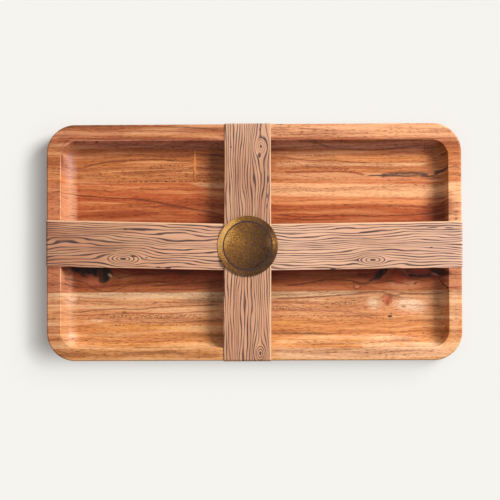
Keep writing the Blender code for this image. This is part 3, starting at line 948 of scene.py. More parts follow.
# %% Second stave
MID_BACK_STAVE = acacia(
    "oiled_acacia_red", 23, 0.17, front_y=4.7, back_y=51.8,
    tones=[(0.0, "#9c4821"), (0.35, "#ac5228"), (0.5, "#b65d32"), (0.75, "#b4572c"),
           (1.0, "#bc6335")],
    pale="#e09a64",
    broad={
        # Wedge of sapwood
        "#efb17e": [Streak(0.95, 7.5, [(-81.5, 60.5), (-59.5, 58.5), (-42.5, 54.5), (-27.5, 53),
                                       (18.5, 46.5), (83.5, 45), (165.5, 43), (185, 41)], soft=0.45)],
        # Tones of the heartwood
        "#e0905a": [Streak(0.85, 4.5, [(-46.5, 44), (-27.5, 40.5), (18.5, 36), (83.5, 35), (165.5, 33.5),
                                       (185, 33)], soft=0.8)],
        "#a85024": [Streak(0.7, 5, [(5.5, 25.5), (66, 27), (165.5, 27), (185, 26)])],
        "#cf7c48": [Streak(0.7, 3.5, [(-153.5, 48), (-120.5, 47.5), (-81, 46), (-52, 41)], soft=0.8)],
        "#c8743e": [Streak(0.6, 3.5, [(-153.5, 34), (-120.5, 33), (-92.5, 29.5), (-69.5, 25)], soft=0.8)],
        # Left cove with a painted highlight, the rims at the two ends, and painted shade on the right
        # wall
        "#e8a680": [Patch(0.75, (-160, 36.5), (8.5, 60), soft=0.6)],
        "#c98058": [Patch(0.6, (-172, 34), (9, 60), soft=0.4)],
        "#f4b484": [Patch(0.85, (172, 34), (9, 60), soft=0.4)],
        "#7c3014": [Patch(0.75, (159.5, 29), (18, 19))],
    },
    figures={
        # The two dark growth lines, and fainter ones beside them
        "#5a2410": [
            Streak(0.8, 0.9, [(-176.5, 41.5), (-166.5, 41.5), (-160.5, 42.5), (-152, 41.5),
                              (-139.5, 40.5), (-120.5, 39), (-99.5, 38), (-85.5, 36), (-74, 33.5),
                              (-58, 30.5), (-42.5, 27.5), (-26.5, 24.5)]),
            Streak(0.55, 1.6, [(-104.5, 37.5), (-85.5, 35.5), (-74, 32.5), (-58, 30), (-42.5, 27),
                               (-26.5, 24)], soft=0.9),
            Streak(0.6, 0.9, [(-48.5, 24.5), (-26.5, 20.5)], soft=0.8),
            Streak(0.45, 0.7, [(-176.5, 45.5), (-166.5, 45), (-151, 46.5), (-120.5, 44)], soft=0.8),
            Streak(0.8, 0.8, [(15.5, 24), (28, 23.5), (45, 22), (69, 23), (96, 22.5), (124, 23),
                              (151.5, 24.5), (161.5, 26), (166.5, 27.5)]),
            Streak(0.5, 0.8, [(15.5, 21), (45, 19.5), (84.5, 20)], soft=0.8),
            Streak(0.6, 0.8, [(162.5, 33.5), (166.5, 34.5)], soft=0.8),
        ],
        # Reddish lines at the right
        "#a04a20": [
            Streak(0.55, 1.1, [(15.5, 35.5), (39.5, 36), (69, 37), (96, 36)], soft=0.8),
            Streak(0.55, 1.1, [(15.5, 30.5), (45, 31.5), (84.5, 31.5), (113, 30.5)], soft=0.8),
            Streak(0.5, 0.8, [(167.5, 40), (172, 40.5), (178, 41.5)], soft=0.8),
            Streak(0.5, 0.8, [(167, 26), (172, 26.5), (177.5, 27.5)], soft=0.8),
        ],
        # Pale lines at the left
        "#e89a64": [
            Streak(0.5, 0.8, [(-153.5, 51), (-136, 50.5), (-120.5, 49), (-97.5, 48)], soft=0.8),
            Streak(0.45, 0.9, [(-152, 36), (-137, 35.5), (-116, 34.5)], soft=0.8),
        ],
        # Small mark in the sapwood
        "#8a4420": [Patch(0.6, (83, 43.5), (1.6, 0.6), soft=0.5)],
        # Left cove: an even tone laid over its grain lines, partly painted highlight
        "#b87850": [Patch(0.6, (-160, 36.5), (8, 60))],
        # Painted highlight along the inner edge of the left rim
        "#f4c898": [Patch(0.4, (-166, 26.5), (0.5, 60), soft=0.6)],
    })

# %% [markdown]
# ## Third stave
#
# The darkest board, cut next to a branch. It has an olive-black knot zone at the left with a
# crack that winds out of it, a dark arch on the right, and several small knots beside it.

# %% Third stave
MID_FRONT_STAVE = acacia(
    "oiled_acacia_dark", 37, 0.1, front_y=-43, back_y=-24,
    tones=[(0.0, "#a85d33"), (0.25, "#984e28"), (0.55, "#91441d"), (0.8, "#8d3716"),
           (1.0, "#8b2f10")],
    pale="#c07a4c",
    broad={
        # Rims, paler, and the left cove with a painted highlight
        "#c47c56": [Patch(0.75, (-172, -32.5), (9, 40), soft=0.3)],
        "#c88460": [Patch(0.7, (-162.5, -32.5), (7, 40), soft=0.6)],
        "#cc8660": [Patch(0.8, (173, -33), (11, 40), soft=0.3)],
        # Tones of the floor
        "#a85c34": [Streak(0.8, 3.5, [(-121, -37.5), (-93, -39), (-69.5, -39.5), (-26.5, -39.5),
                                      (15.5, -40), (50.5, -39), (84.5, -39), (118, -38)])],
        "#a4582e": [Streak(0.7, 3.5, [(39, -29), (61.5, -28), (91, -28)], soft=0.8)],
        # Reddened wood round the knots
        "#c4805a": [Patch(0.8, (129.5, -37), (20, 5.5), soft=0.6)],
        "#a85040": [Patch(0.85, (141, -27), (22, 4.5))],
        "#a8503a": [Patch(0.9, (-140.5, -34), (14, 6), turn=-8, soft=0.8)],
        "#a8401e": [Patch(0.8, (124, -31), (9, 7), turn=-30)],
        "#b4683c": [Patch(0.6, (-111.5, -30), (11, 6), soft=0.8)],
        # Ground of the knot zone
        "#28140e": [Patch(0.95, (-139.5, -22.5), (22, 6.5), turn=-4)],
    },
    figures={
        # Knot zone at the left, arch at the right, and the marks beside them
        "#1e1210": [
            Patch(1, (-145.5, -22.5), (17, 5.5), turn=-3, soft=0.35),
            Patch(1, (-133, -24.5), (12, 7), turn=-12, soft=0.35),
            Patch(1, (-130, -30.5), (7, 5), turn=30, soft=0.4),
            Patch(0.85, (-148.5, -27.5), (6, 2.6), turn=-35),
            Patch(1, (110, -27), (10, 3.8), turn=42, soft=0.5),
            Patch(0.85, (103.5, -32), (8, 2.2), turn=30),
            Patch(0.9, (160, -26), (11, 4), turn=-20, soft=0.5),
            Streak(0.7, 0.7, [(-164.5, -35), (-158, -37.5), (-152.5, -38)], soft=0.6),
            Streak(0.9, 1.4, [(133, -28.5), (143, -29.5), (153.5, -28.5)], soft=0.6),
            Streak(0.9, 1.1, [(159.5, -31.5), (162, -35.5), (164, -38), (166.5, -41.5)], soft=0.5),
        ],
        # Small grey knot
        "#2e1c20": [Patch(0.8, (139.5, -36), (2.6, 1.2), turn=25, soft=0.6)],
        # Crack that winds out of the knot zone
        "#3a1a10": [Streak(0.65, 0.9, [(-165, -30.5), (-159, -32), (-152.5, -33), (-145.5, -35),
                                       (-142, -38), (-135, -41), (-128, -42), (-121, -41),
                                       (-114, -38.5)], soft=0.8)],
        # Growth lines and pin knots
        "#4a2010": [
            Streak(0.45, 0.8, [(-116, -39), (-105.5, -36), (-97.5, -35), (-83.5, -34.5)], soft=0.8),
            Streak(0.8, 0.8, [(25.5, -37), (37, -36.5), (48, -35), (68.5, -32.5), (83, -33.5),
                              (93.5, -35.5), (101.5, -34.5)], soft=0.6),
            Streak(0.6, 0.8, [(91, -36.5), (107, -35.5), (118, -34), (127.5, -35.5), (135, -37.5)]),
            Streak(0.65, 0.9, [(-90.5, -37.5), (-74, -36.5), (-58, -35.5), (-26.5, -32)]),
            Streak(0.6, 0.9, [(-83.5, -41), (-58, -40.5), (-26.5, -38.5)]),
            Streak(0.6, 1, [(-121, -31.5), (-104.5, -28), (-81, -25.5), (-58, -24.5)]),
            Streak(0.55, 0.8, [(-177, -26.5), (-172, -28), (-166.5, -30)], soft=0.8),
            Streak(0.55, 0.7, [(167, -30.5), (172, -30), (178, -30)]),
            Streak(0.5, 0.7, [(167, -33), (171.5, -33), (178, -32.5)]),
            Patch(0.8, (-79, -34), (4.2, 1.1), soft=0.5),
            Patch(0.6, (-60.5, -26.5), (8, 3.2)),
            Patch(0.75, (89, -38.5), (4.4, 3.2), soft=0.5),
        ],
        # Red marks at the right end
        "#8a3020": [
            Streak(0.6, 0.8, [(167, -41), (171.5, -40.5), (178, -40)]),
            Patch(0.75, (163.5, -34), (3.5, 2.4), soft=0.6),
        ],
        # Heart of a small knot
        "#b86c48": [Patch(0.9, (89, -38.5), (3, 2), soft=0.4)],
        # Chips in the knots that catch the light
        "#c9a080": [Patch(0.9, (-125, -28), (2.8, 1.7), turn=-40, soft=0.5)],
        "#d8a488": [Patch(0.6, (156.5, -28), (3.4, 1), turn=-20, soft=0.5)],
        # Painted highlight along the inner edge of the left rim
        "#fbdcb0": [Patch(0.45, (-166, -33), (0.5, 14), soft=0.6)],
    },
    knots=[Knot((-139.5, -27.5), (16, 7)), Knot((89, -38.5), (4, 3)), Knot((111.5, -26), (7, 4), turn=40),
           Knot((127.5, -28.5), (8, 5))])

# %% [markdown]
# ## Front stave
#
# The palest and widest board: straw and honey tones, one grey-brown growth line that wavers
# along its whole length, pore dashes, and a cream patch beside two small knots at the right.

# %% Front stave
FRONT_STAVE = acacia(
    "oiled_acacia_light", 53, 0.05, front_y=-92, back_y=-43,
    tones=[(0.0, "#d7955d"), (0.2, "#d78d51"), (0.4, "#cf834a"), (0.6, "#d38d59"),
           (0.8, "#d39162"), (0.92, "#ca8d60"), (1.0, "#ac724a")],
    pale="#f2c898",
    broad={
        # Tones of the floor, from the glue line to the front cove
        "#cba27c": [Streak(0.8, 3.2, [(-179, -45.5), (-151, -45), (-93, -45.5), (-26.5, -45.5), (15, -45),
                                      (61.5, -44.5), (95.5, -43.5)], soft=0.6)],
        "#a8805a": [Streak(0.6, 4.5, [(-64, -49.5), (-26.5, -49.5), (15, -45), (39, -45)], soft=0.8)],
        "#e0a06c": [Streak(0.6, 3.5, [(-153.5, -51), (-104.5, -50.5), (-58, -50.5)], soft=0.8)],
        "#e2a070": [Streak(0.6, 4, [(-151, -67), (-104.5, -67), (-46.5, -66.5)], soft=0.8)],
        "#e09850": [Streak(0.7, 3.5, [(-139.5, -72.5), (-93, -73), (-26.5, -73), (15, -70),
                                      (61.5, -70)], soft=0.8)],
        "#b4743e": [Streak(0.7, 3, [(-153.5, -79.5), (-121, -80), (-81.5, -81.5), (-26.5, -80.5),
                                    (15, -78.5), (39, -79), (68.5, -80)], soft=0.8)],
        "#c88444": [Streak(0.75, 3, [(-139, -87.5), (-92.5, -88.5), (-26.5, -88), (15, -84.5),
                                     (61.5, -86), (106.5, -87)])],
        # Front rim, brown at the left, and right rim
        "#b97640": [Streak(0.75, 5, [(-177, -96), (-138, -96.5), (-80.5, -97),
                                     (-26.5, -97.5)], soft=0.6)],
        "#dfaa82": [Streak(0.8, 6, [(15, -95.5), (72, -96), (172.5, -95.5)], soft=0.6)],
        "#ecc6a2": [Streak(0.55, 5, [(90.5, -88.5), (117.5, -89.5), (162, -89.5)], soft=0.8)],
        "#deae86": [Patch(0.4, (171.5, -65), (6, 30), soft=0.5)],
        "#ecbc8c": [Streak(0.6, 2, [(15, -86), (61.5, -86.5), (117.5, -87.5)], soft=0.8)],
        "#ba7c56": [Streak(0.65, 2.4, [(-6.5, -58.5), (15, -58.5), (42.5, -58.5), (68.5, -59.5),
                                       (91, -62), (107, -64.5)])],
        # Cream patches beside the knots
        "#f2ceac": [Patch(0.8, (135, -55), (20, 9), turn=-8, soft=0.8)],
        "#eecaa4": [Patch(0.75, (103.5, -53), (9, 8), turn=-10, soft=0.8)],
        "#f2c79a": [
            Patch(0.7, (118, -83.5), (32, 3.5), soft=0.8),
            Patch(0.6, (-136, -67), (8, 2.2), soft=0.6),
        ],
        # Reddened wood round the knots
        "#b8643c": [Patch(0.8, (115.5, -49), (6.5, 6), turn=-30)],
        "#b46c3e": [Patch(0.6, (157, -52), (6, 8))],
        "#d08058": [Patch(0.5, (131.5, -61), (18, 4), soft=0.8)],
        # Left cove with painted highlights, and left rim
        "#f0c8a8": [
            Patch(0.6, (-159.5, -50.5), (6.5, 7.5)),
            Patch(0.6, (-158.5, -82.5), (8, 9), soft=0.8),
        ],
        "#b4714a": [Patch(0.6, (-172.5, -82.5), (9, 22), soft=0.5)],
    },
    figures={
        # Grey-brown growth lines and pore dashes
        "#6a4430": [
            Streak(0.75, 0.8, [(-165, -57.5), (-152.5, -59.5), (-139.5, -58), (-121, -57.5),
                               (-100, -57.5), (-86, -56), (-69.5, -55), (-46.5, -54.5), (-26.5, -53.5)]),
            Streak(0.8, 0.9, [(15, -48.5), (44.5, -48), (73, -46), (90, -44.5), (104.5, -43),
                              (111, -43.5), (116, -45.5), (120.5, -46.5), (127, -45), (146.5, -45),
                              (166.5, -44.5)], soft=0.6),
            Streak(0.7, 1, [(15, -64.5), (39, -63.5), (73, -64), (99, -65), (113.5, -67),
                            (125, -66.5)], soft=0.6, dotted=True),
            Streak(0.7, 0.9, [(134, -68), (146.5, -67.5), (154, -67),
                              (166.5, -67)], soft=0.6, dotted=True),
            Streak(0.6, 1, [(15, -78.5), (39, -79), (61.5, -79.5)]),
            Streak(0.65, 0.7, [(-101, -68.5), (-69.5, -69), (-46.5, -68), (-26.5, -66.5)]),
            Streak(0.5, 0.8, [(-104, -90.5), (-80.5, -91), (-57.5, -90.5)]),
            Streak(0.5, 1.2, [(-114.5, -95.5), (-86, -95), (-57.5, -96)]),
            Streak(0.6, 1.6, [(-58, -49.5), (-26.5, -49)], soft=0.6, dotted=True),
            Streak(0.8, 2.2, [(-136, -62.5), (-104.5, -63.5), (-69.5, -63.5),
                              (-42, -63.5)], soft=0.6, dotted=True),
            Streak(0.6, 1, [(-128, -71.5), (-81.5, -71), (-42, -71.5)], soft=0.6, dotted=True),
            Streak(0.8, 2.2, [(66, -53.5), (77.5, -52.5), (89, -52)], soft=0.6, dotted=True),
            Streak(0.7, 2, [(15, -56), (33.5, -57), (52.5, -57.5)], soft=0.6, dotted=True),
        ],
        # Red-brown lines, and the red heart of the knot
        "#8e3c24": [
            Streak(0.65, 0.8, [(-177, -60.5), (-166.5, -61), (-152.5, -62.5), (-121, -61.5), (-100, -61),
                               (-83.5, -61.5), (-58, -60.5), (-26.5, -58.5)]),
            Streak(0.5, 0.8, [(15, -59.5), (42.5, -58.5), (68.5, -59.5), (88.5, -61)]),
            Streak(0.5, 0.8, [(103.5, -78.5), (113.5, -79), (122.5, -79.5)]),
            Patch(0.7, (116.5, -51), (3.4, 6), turn=-35),
            Patch(0.6, (165, -75), (2, 4)),
        ],
        # Pale dashes beside the glue line
        "#ecd2b4": [Streak(0.4, 1, [(-139.5, -43.5), (-104.5, -44), (-69.5, -44),
                                    (-26.5, -44)], soft=0.8, dotted=True)],
        # Pin knots
        "#4a2418": [
            Patch(0.9, (117.5, -64.5), (2.8, 1.4), soft=0.5),
            Patch(0.7, (118.5, -62), (0.7, 1.4), soft=0.5),
            Patch(0.7, (146, -79), (0.7, 1.1), soft=0.5),
            Patch(0.5, (113, -98), (1, 1.4), soft=0.5),
        ],
        # Amber spot
        "#e8862c": [Patch(0.6, (126.5, -88), (2.6, 1.4), soft=0.6)],
        # Left cove: an even tone laid over its grain lines, partly painted highlight
        "#bc8860": [Patch(0.55, (-160.5, -65), (8, 40))],
        # Painted highlight along the inner edge of the left rim
        "#f4c898": [Patch(0.4, (-166, -65), (0.5, 26), soft=0.6)],
    },
    knots=[Knot((116.5, -50.5), (5, 5)), Knot((117.5, -64.5), (3, 1.8))])
for piece, finish in zip(staves, (BACK_STAVE, MID_BACK_STAVE, MID_FRONT_STAVE, FRONT_STAVE)):
    dress(piece, finish)

# %% [markdown]
# ## Printed kraft paper
#
# The bands are kraft paper, an unbleached brown paper, printed in one dark ink with the lines
# of sawn wood. The print belongs to the flat sheet, so it is drawn on the UV map, whose unit
# is a millimetre. Contour lines of a slow noise field give lines that wander, crowd and close
# into loops as growth rings do, which evenly spaced waves would never do. Each eye of the
# print pushes the lines aside and is filled with its own rings. Uncoated paper is dull, and its
# fibres, a few hundredths of a millimetre wide, are drawn ten times as coarse.

# %% Printed kraft paper
Eye = namedtuple("Eye", "first_arm distance across half_sizes rings turn", defaults=(3, 0))
Blot = namedtuple("Blot", "first_arm distance across half_sizes turn", defaults=(0,))
Shade = namedtuple("Shade", "first_arm distance hex_code")

LINE_SPACING = 2.3
LINE_SHARE = 0.165
LINE_EDGE = 0.07
SLOW_WANDER = Grain(110, 26, 1.0)
SLOW_LINES = 6.0
QUICK_WANDER = Grain(38, 9, 1.0)
QUICK_LINES = 2.9
SWELL = Grain(30, 3)
SWELL_THICKNESS = (0.35, 0.65, LINE_SHARE * 0.6, LINE_SHARE * 1.4)
INK_WEAR = Grain(18, 2)
INK_WEIGHT = (0.3, 0.6, 0.68, 0.98)
WASH_PATCH = Grain(70, 9)
WASH_WEIGHT = (0.42, 0.66, 0.0, 0.25)
PALE_PATCH = Grain(50, 6)
PALE_WEIGHT = (0.4, 0.7, 0.0, 0.4)

INK = "#463230"
DEEP_INK = "#3a2a2c"
WASH = "#a07c66"
KRAFT_PALE = "#dcae88"
EYE_POWER = -2.5
EYE_HEART_SHARE = 0.24
BLOT_CORE_SHARE = 0.6
BLOT_WEIGHT = 0.9
# Painted highlight along the edge of a band that faces the lamp: its width and its soft edge
HIGHLIGHT_MARGIN = 1.0
HIGHLIGHT_SOFT_EDGE = 0.2
PAPER_ROUGHNESS = 0.6
PAPER_GLOSS = 0.3
FIBRES_PER_MM = 2.5
FIBRE_DETAIL = 3.0
FIBRE_BUMP = 0.15
FIBRE_BUMP_DEPTH = 0.08 * MM


def on_paper(length, arm_place):
    """Millimetres along the flat strip of a place given on one of its arms."""
    from_end = LAP_LENGTH / 2 / MM + arm_place.distance
    return from_end if arm_place.first_arm else length / MM - from_end


def printed_kraft(name, seed, strip_length, half_width_mm, lit_edge_side, shades, eyes, blots):
    """Kraft paper with printed wood lines. lit_edge_side names the edge that faces the lamp, which gets a
    painted highlight: a pale margin laid over the print.
    """
    material, tree, surface = new_material(name)
    place = add_node(tree, "UVMap", uv_map=FLAT_MAP)
    axes = add_node(tree, "SeparateXYZ", place)
    across = axes.outputs["Y"]
    line = across
    eye_distances = []
    for eye in eyes:
        middle = (on_paper(strip_length, eye), eye.across)
        line = flow_round(tree, place, line, middle, eye.half_sizes, eye.turn, power=EYE_POWER)
        eye_distances.append(oval_distance(tree, place, middle, eye.half_sizes, eye.turn))
    flow = add_node(tree, "CombineXYZ", axes.outputs["X"], line)
    slow = drawn_noise(tree, flow, SLOW_WANDER, seed)
    quick = drawn_noise(tree, flow, QUICK_WANDER, seed + 1)
    drift = add_node(tree, "Math", quick, QUICK_LINES, operation="MULTIPLY")
    drift = add_node(tree, "Math", slow, SLOW_LINES, drift, operation="MULTIPLY_ADD")
    field = add_node(tree, "Math", line, 1 / LINE_SPACING, drift, operation="MULTIPLY_ADD")
    for eye, distance in zip(eyes, eye_distances):
        inside = add_node(tree, "Math", distance, 1.0, operation="LESS_THAN")
        ring = add_node(tree, "Math", distance, float(eye.rings), operation="MULTIPLY")
        field = add_node(tree, "Mix", inside, field, ring, data_type="FLOAT")
    off_line = add_node(tree, "Math", field, operation="FRACT")
    off_line = add_node(tree, "Math", off_line, 0.5, operation="SUBTRACT")
    off_line = add_node(tree, "Math", off_line, operation="ABSOLUTE")
    swell = drawn_noise(tree, flow, SWELL, seed + 2)
    thickness = add_node(tree, "MapRange", swell, *SWELL_THICKNESS, **EASED)
    off_line = add_node(tree, "Math", off_line, thickness, operation="SUBTRACT")
    wear = drawn_noise(tree, flow, INK_WEAR, seed + 5)
    weight = add_node(tree, "MapRange", wear, *INK_WEIGHT, **EASED)
    ink = add_node(tree, "MapRange", off_line, -LINE_EDGE, LINE_EDGE, weight, 0.0, **EASED)
    wash = drawn_noise(tree, flow, WASH_PATCH, seed + 3)
    washed = add_node(tree, "MapRange", wash, *WASH_WEIGHT, **EASED)
    cloud = drawn_noise(tree, place, PALE_PATCH, seed + 4)
    pale = add_node(tree, "MapRange", cloud, *PALE_WEIGHT, **EASED)

    stops = sorted((on_paper(strip_length, shade) * MM / strip_length, shade.hex_code)
                   for shade in shades)
    share = add_node(tree, "MapRange", axes.outputs["X"], 0.0, strip_length / MM, 0.0, 1.0)
    colour = add_node(tree, "ValToRGB", share, stops=stops)
    for mask, tone in ((pale, KRAFT_PALE), (washed, WASH), (ink, INK)):
        colour = add_node(tree, "Mix", mask, colour, linear(tone), data_type="RGBA")
    accents = [(distance, EYE_HEART_SHARE) for distance in eye_distances]
    for blot in blots:
        middle = (on_paper(strip_length, blot), blot.across)
        accents.append((oval_distance(tree, place, middle, blot.half_sizes, blot.turn), 1.0))
    for distance, edge in accents:
        mask = add_node(tree, "MapRange", distance, edge * BLOT_CORE_SHARE, edge, BLOT_WEIGHT,
                        0.0, **EASED)
        colour = add_node(tree, "Mix", mask, colour, linear(DEEP_INK), data_type="RGBA")
    # Painted highlight: the edge that faces the lamp is laid over with pale kraft, as if it caught the
    # light
    from_edge = add_node(tree, "Math", across, lit_edge_side, operation="MULTIPLY")
    highlight_start = half_width_mm - HIGHLIGHT_MARGIN
    bare = add_node(tree, "MapRange", from_edge, highlight_start - HIGHLIGHT_SOFT_EDGE, highlight_start, 0.0, 1.0,
                    **EASED)
    colour = add_node(tree, "Mix", bare, colour, linear(KRAFT_PALE), data_type="RGBA")
    fibres = add_node(tree, "TexNoise", Vector=place, Scale=FIBRES_PER_MM, Detail=FIBRE_DETAIL)
    bump = add_node(tree, "Bump", Strength=FIBRE_BUMP, Distance=FIBRE_BUMP_DEPTH, Height=fibres)
    set_surface(tree, surface, Base_Color=colour, Roughness=PAPER_ROUGHNESS, Normal=bump,
                Specular_IOR_Level=PAPER_GLOSS)
    print(name, "has", len(tree.nodes), "nodes")
    return material


# The long band's shades darken towards its left end, far from the lamp: partly painted shade, for the
# light that falls off there
LONG_PRINT = printed_kraft(
    "printed_kraft_long", 14, paper_lengths["long_band_paper"], long_crossing_width / 2 / MM, 1,
    shades=[Shade(True, 60, "#ce9878"), Shade(True, 115, "#ba8260"), Shade(True, 170, "#a86e50"),
            Shade(False, 170, "#c69a82"), Shade(False, 110, "#cc9a7c"), Shade(False, 50, "#d2a488")],
    eyes=[Eye(True, 107, -12, (15, 5.2), 4), Eye(False, 107, -12.3, (12, 4.2), 3)],
    blots=[Blot(True, 98, -9.6, (4, 0.9), 6), Blot(True, 105, 13.3, (2.2, 0.8)),
           Blot(True, 87, -10.8, (1.4, 0.7)), Blot(True, 76.7, -18.6, (2.6, 0.8)),
           Blot(True, 68.6, -18.9, (3.4, 1.0)), Blot(False, 72.9, -19.2, (3.4, 1.0)),
           Blot(False, 158, 14.6, (6, 0.5)), Blot(False, 172, 14.4, (5, 0.5)),
           Blot(False, 157, -2.4, (1.5, 0.7))])
SHORT_PRINT = printed_kraft(
    "printed_kraft_short", 8, paper_lengths["short_band_paper"], short_crossing_width / 2 / MM,
    -1,
    shades=[Shade(True, 60, "#c48c6a"), Shade(True, 93, "#ba8262"), Shade(False, 99, "#c09072"),
            Shade(False, 60, "#ae785a")],
    eyes=[Eye(False, 86.6, -11.3, (7, 4.4), 3), Eye(True, 90.6, -11, (7, 4), 3)],
    blots=[Blot(False, 79, -10, (2.6, 1.6), 0), Blot(False, 58.5, -17.3, (4.2, 1.0)),
           Blot(False, 101, -10.6, (1.4, 0.8)), Blot(False, 86.2, 14.4, (1.4, 0.8)),
           Blot(False, 44, -16.6, (3, 0.6)), Blot(False, 35, -16.4, (3, 0.6))])
dress(long_band, LONG_PRINT)
dress(short_band, SHORT_PRINT)

# %% [markdown]
# ## Antique gold foil
#
# The sticker is paper with a brass-coloured metal foil, darkened and rubbed to look old. A violet-brown
# patina covers most of the field, so the finish mixes a bright metal with dull patches. Bare foil shines
# golden at the border, and more so towards the upper left and at a spot on the right border; those two
# bright places are painted highlights, laid in as thinner patina. The ring is pressed in and inked dark.
# The specks of tarnish are finer than a pixel of the photograph, so they are drawn about a millimetre
# wide.

# %% Antique gold foil
FOIL_TONES = [(0.0, "#f3bc6f"), (0.2, "#daa258"), (0.34, "#a47033"), (0.43, "#8c5e2a"),
              (0.58, "#785024"), (0.78, "#583a18"), (1.0, "#331f08")]
PATINA_VIOLET = "#4c362e"
RING_INK = "#3c3032"
DROOP_SHOWN = 0.3

# A gleam, a painted highlight: its place from the seal's middle, its reach in mm, and the tarnish at its
# middle
Gleam = namedtuple("Gleam", "place reach tarnish")
GLEAMS = [Gleam((-22, 9, 0), 44.0, -0.6), Gleam((21, 4, 0), 12.0, -0.15)]
TARNISH_FAR_OFF = 0.4
CLOUD = Grain(9, 7, 4.0)
CLOUD_SEED = 3
CLOUD_WEIGHT = 0.4
SPECK = Grain(1.1, 1.1, 3.0)
SPECK_SEED = 7
SPECK_WEIGHT = 0.95
BORDER_SHINE = (21.2, 22.2, 0.0, 0.2)
VIOLET_BLOT = Grain(2.4, 1.6, 3.0)
VIOLET_SEED = 12
VIOLET_EDGE = (0.4, 0.6, 0.0)
VIOLET_WITH_TARNISH = (0.1, 0.6, 0.1, 0.65)
PATINA_COVER = (0.1, 0.7, 0.2, 0.8)
RING_SOFT_EDGE = 0.25
FOIL_ROUGHNESS = (0.3, 0.7, 0.42, 0.6)
PATINA_GLOSS = 0.1
FOIL_BUMP = 0.2
FOIL_BUMP_DEPTH = 0.05 * MM


def antique_foil(name):
    """Brass-coloured foil with patina, around the seal's middle."""
    material, tree, surface = new_material(name)
    spot = add_node(tree, "TexCoord").outputs["Object"]
    place = add_node(tree, "Mapping", Vector=spot, vector_type="TEXTURE",
                     Location=(SEAL_MIDDLE.x, SEAL_MIDDLE.y, 0), Scale=(MM, MM, 1))
    flat = add_node(tree, "VectorMath", place, (1, 1, 0), operation="MULTIPLY")
    radius = add_node(tree, "VectorMath", flat, operation="LENGTH").outputs["Value"]
    cloud = drawn_noise(tree, flat, CLOUD, CLOUD_SEED)
    speck = drawn_noise(tree, flat, SPECK, SPECK_SEED)
    dimmed = []
    for gleam in GLEAMS:
        away = add_node(tree, "VectorMath", flat, gleam.place, operation="DISTANCE")
        dimmed.append(add_node(tree, "MapRange", away.outputs["Value"], 0.0, gleam.reach,
                               gleam.tarnish, TARNISH_FAR_OFF))
    tarnish = add_node(tree, "Math", *dimmed, operation="MINIMUM")
    for part, weight in ((cloud, CLOUD_WEIGHT), (speck, SPECK_WEIGHT)):
        tarnish = add_node(tree, "Math", part, weight, tarnish, operation="MULTIPLY_ADD")
    on_border = add_node(tree, "MapRange", radius, *BORDER_SHINE, **EASED)
    tarnish = add_node(tree, "Math", tarnish, on_border, operation="SUBTRACT")
    foil = add_node(tree, "ValToRGB", tarnish, stops=FOIL_TONES)
    most_violet = add_node(tree, "MapRange", tarnish, *VIOLET_WITH_TARNISH, **EASED)
    violet = add_node(tree, "MapRange", drawn_noise(tree, flat, VIOLET_BLOT, VIOLET_SEED),
                      *VIOLET_EDGE, most_violet, **EASED)
    colour = add_node(tree, "Mix", violet, foil, linear(PATINA_VIOLET), data_type="RGBA")
    off_ring = add_node(tree, "Math", radius, RING_RADIUS / MM, operation="SUBTRACT")
    off_ring = add_node(tree, "Math", off_ring, operation="ABSOLUTE")
    ring_edge = RING_WIDTH / 2 / MM
    on_ring = add_node(tree, "MapRange", off_ring, ring_edge, ring_edge + RING_SOFT_EDGE, 1.0,
                       0.0, **EASED)
    colour = add_node(tree, "Mix", on_ring, colour, linear(RING_INK), data_type="RGBA")
    covered = add_node(tree, "MapRange", tarnish, *PATINA_COVER, **EASED)
    bare = add_node(tree, "Math", 1.0, covered, operation="SUBTRACT")
    beside_ring = add_node(tree, "Math", 1.0, on_ring, operation="SUBTRACT")
    metal = add_node(tree, "Math", beside_ring, bare, operation="MULTIPLY")
    roughness = add_node(tree, "MapRange", speck, *FOIL_ROUGHNESS, **EASED)
    facing = add_node(tree, "Mix", DROOP_SHOWN, (0, 0, 1),
                      add_node(tree, "NewGeometry").outputs["Normal"], data_type="VECTOR")
    facing = add_node(tree, "VectorMath", facing, operation="NORMALIZE")
    bump = add_node(tree, "Bump", Strength=FOIL_BUMP, Distance=FOIL_BUMP_DEPTH, Height=speck,
                    Normal=facing)
    set_surface(tree, surface, Base_Color=colour, Metallic=metal, Roughness=roughness,
                Specular_IOR_Level=PATINA_GLOSS, Normal=bump)
    print(name, "has", len(tree.nodes), "nodes")
    return material


dress(seal, antique_foil("antique_gold_foil"))

# %% [markdown]
# ## Who rides, and what each piece stands for
#
# The whole tray is one body, because nothing on it moves. Each new piece stands in for the frame's node
# of the same name, which is hidden.

# %% Ride and replace
DRESSED = [(staves[0], "back_stave", "acacia_orange"),
           (staves[1], "mid_back_stave", "acacia_red"),
           (staves[2], "mid_front_stave", "acacia_dark"),
           (staves[3], "front_stave", "acacia_light"),
           (long_band, "long_band", "printed_kraft_paper"),
           (short_band, "short_band", "printed_kraft_paper"),
           (seal, "seal", "antique_gold_foil")]
for piece, node, slot in DRESSED:
    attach(piece, "root")
    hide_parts(node)
print("pieces:", [piece.name for piece, node, slot in DRESSED])

# %% [markdown]
# ## Floor
#
# The tray lies on a pale paper sheet. The lamp stands at one side, so the sheet is graded, a
# little lighter the further it is from the lamp. In the photograph it looks lit from below and
# the tray's shadow is short, so the sheet also glows, weakly beside the tray and strongly
# further off. Only the eye and the gloss see that glow, and it throws no light on the wood. It
# starts to rise under the tray, apart from the left, where the shadow is longest.

# %% Floor
FLOOR_SIZE = 3.0
SOFTBOX_PLACE = Vector((1.243, 0.801, 1.027))
SHEET_NEAR, SHEET_FAR = "#b1b0ac", "#f2f0eb"
NEAR_LAMP, FAR_FROM_LAMP = 1.1, 1.85
SHEET_GLOW = "#f6f4ef"
GLOW_BESIDE_TRAY, GLOW_FAR_OFF = 0.05, 0.88
GLOW_START, GLOW_FULL = 3 * MM, 33 * MM
LIT_REACH = 19 * MM
SHEET_ROUGHNESS = 0.9

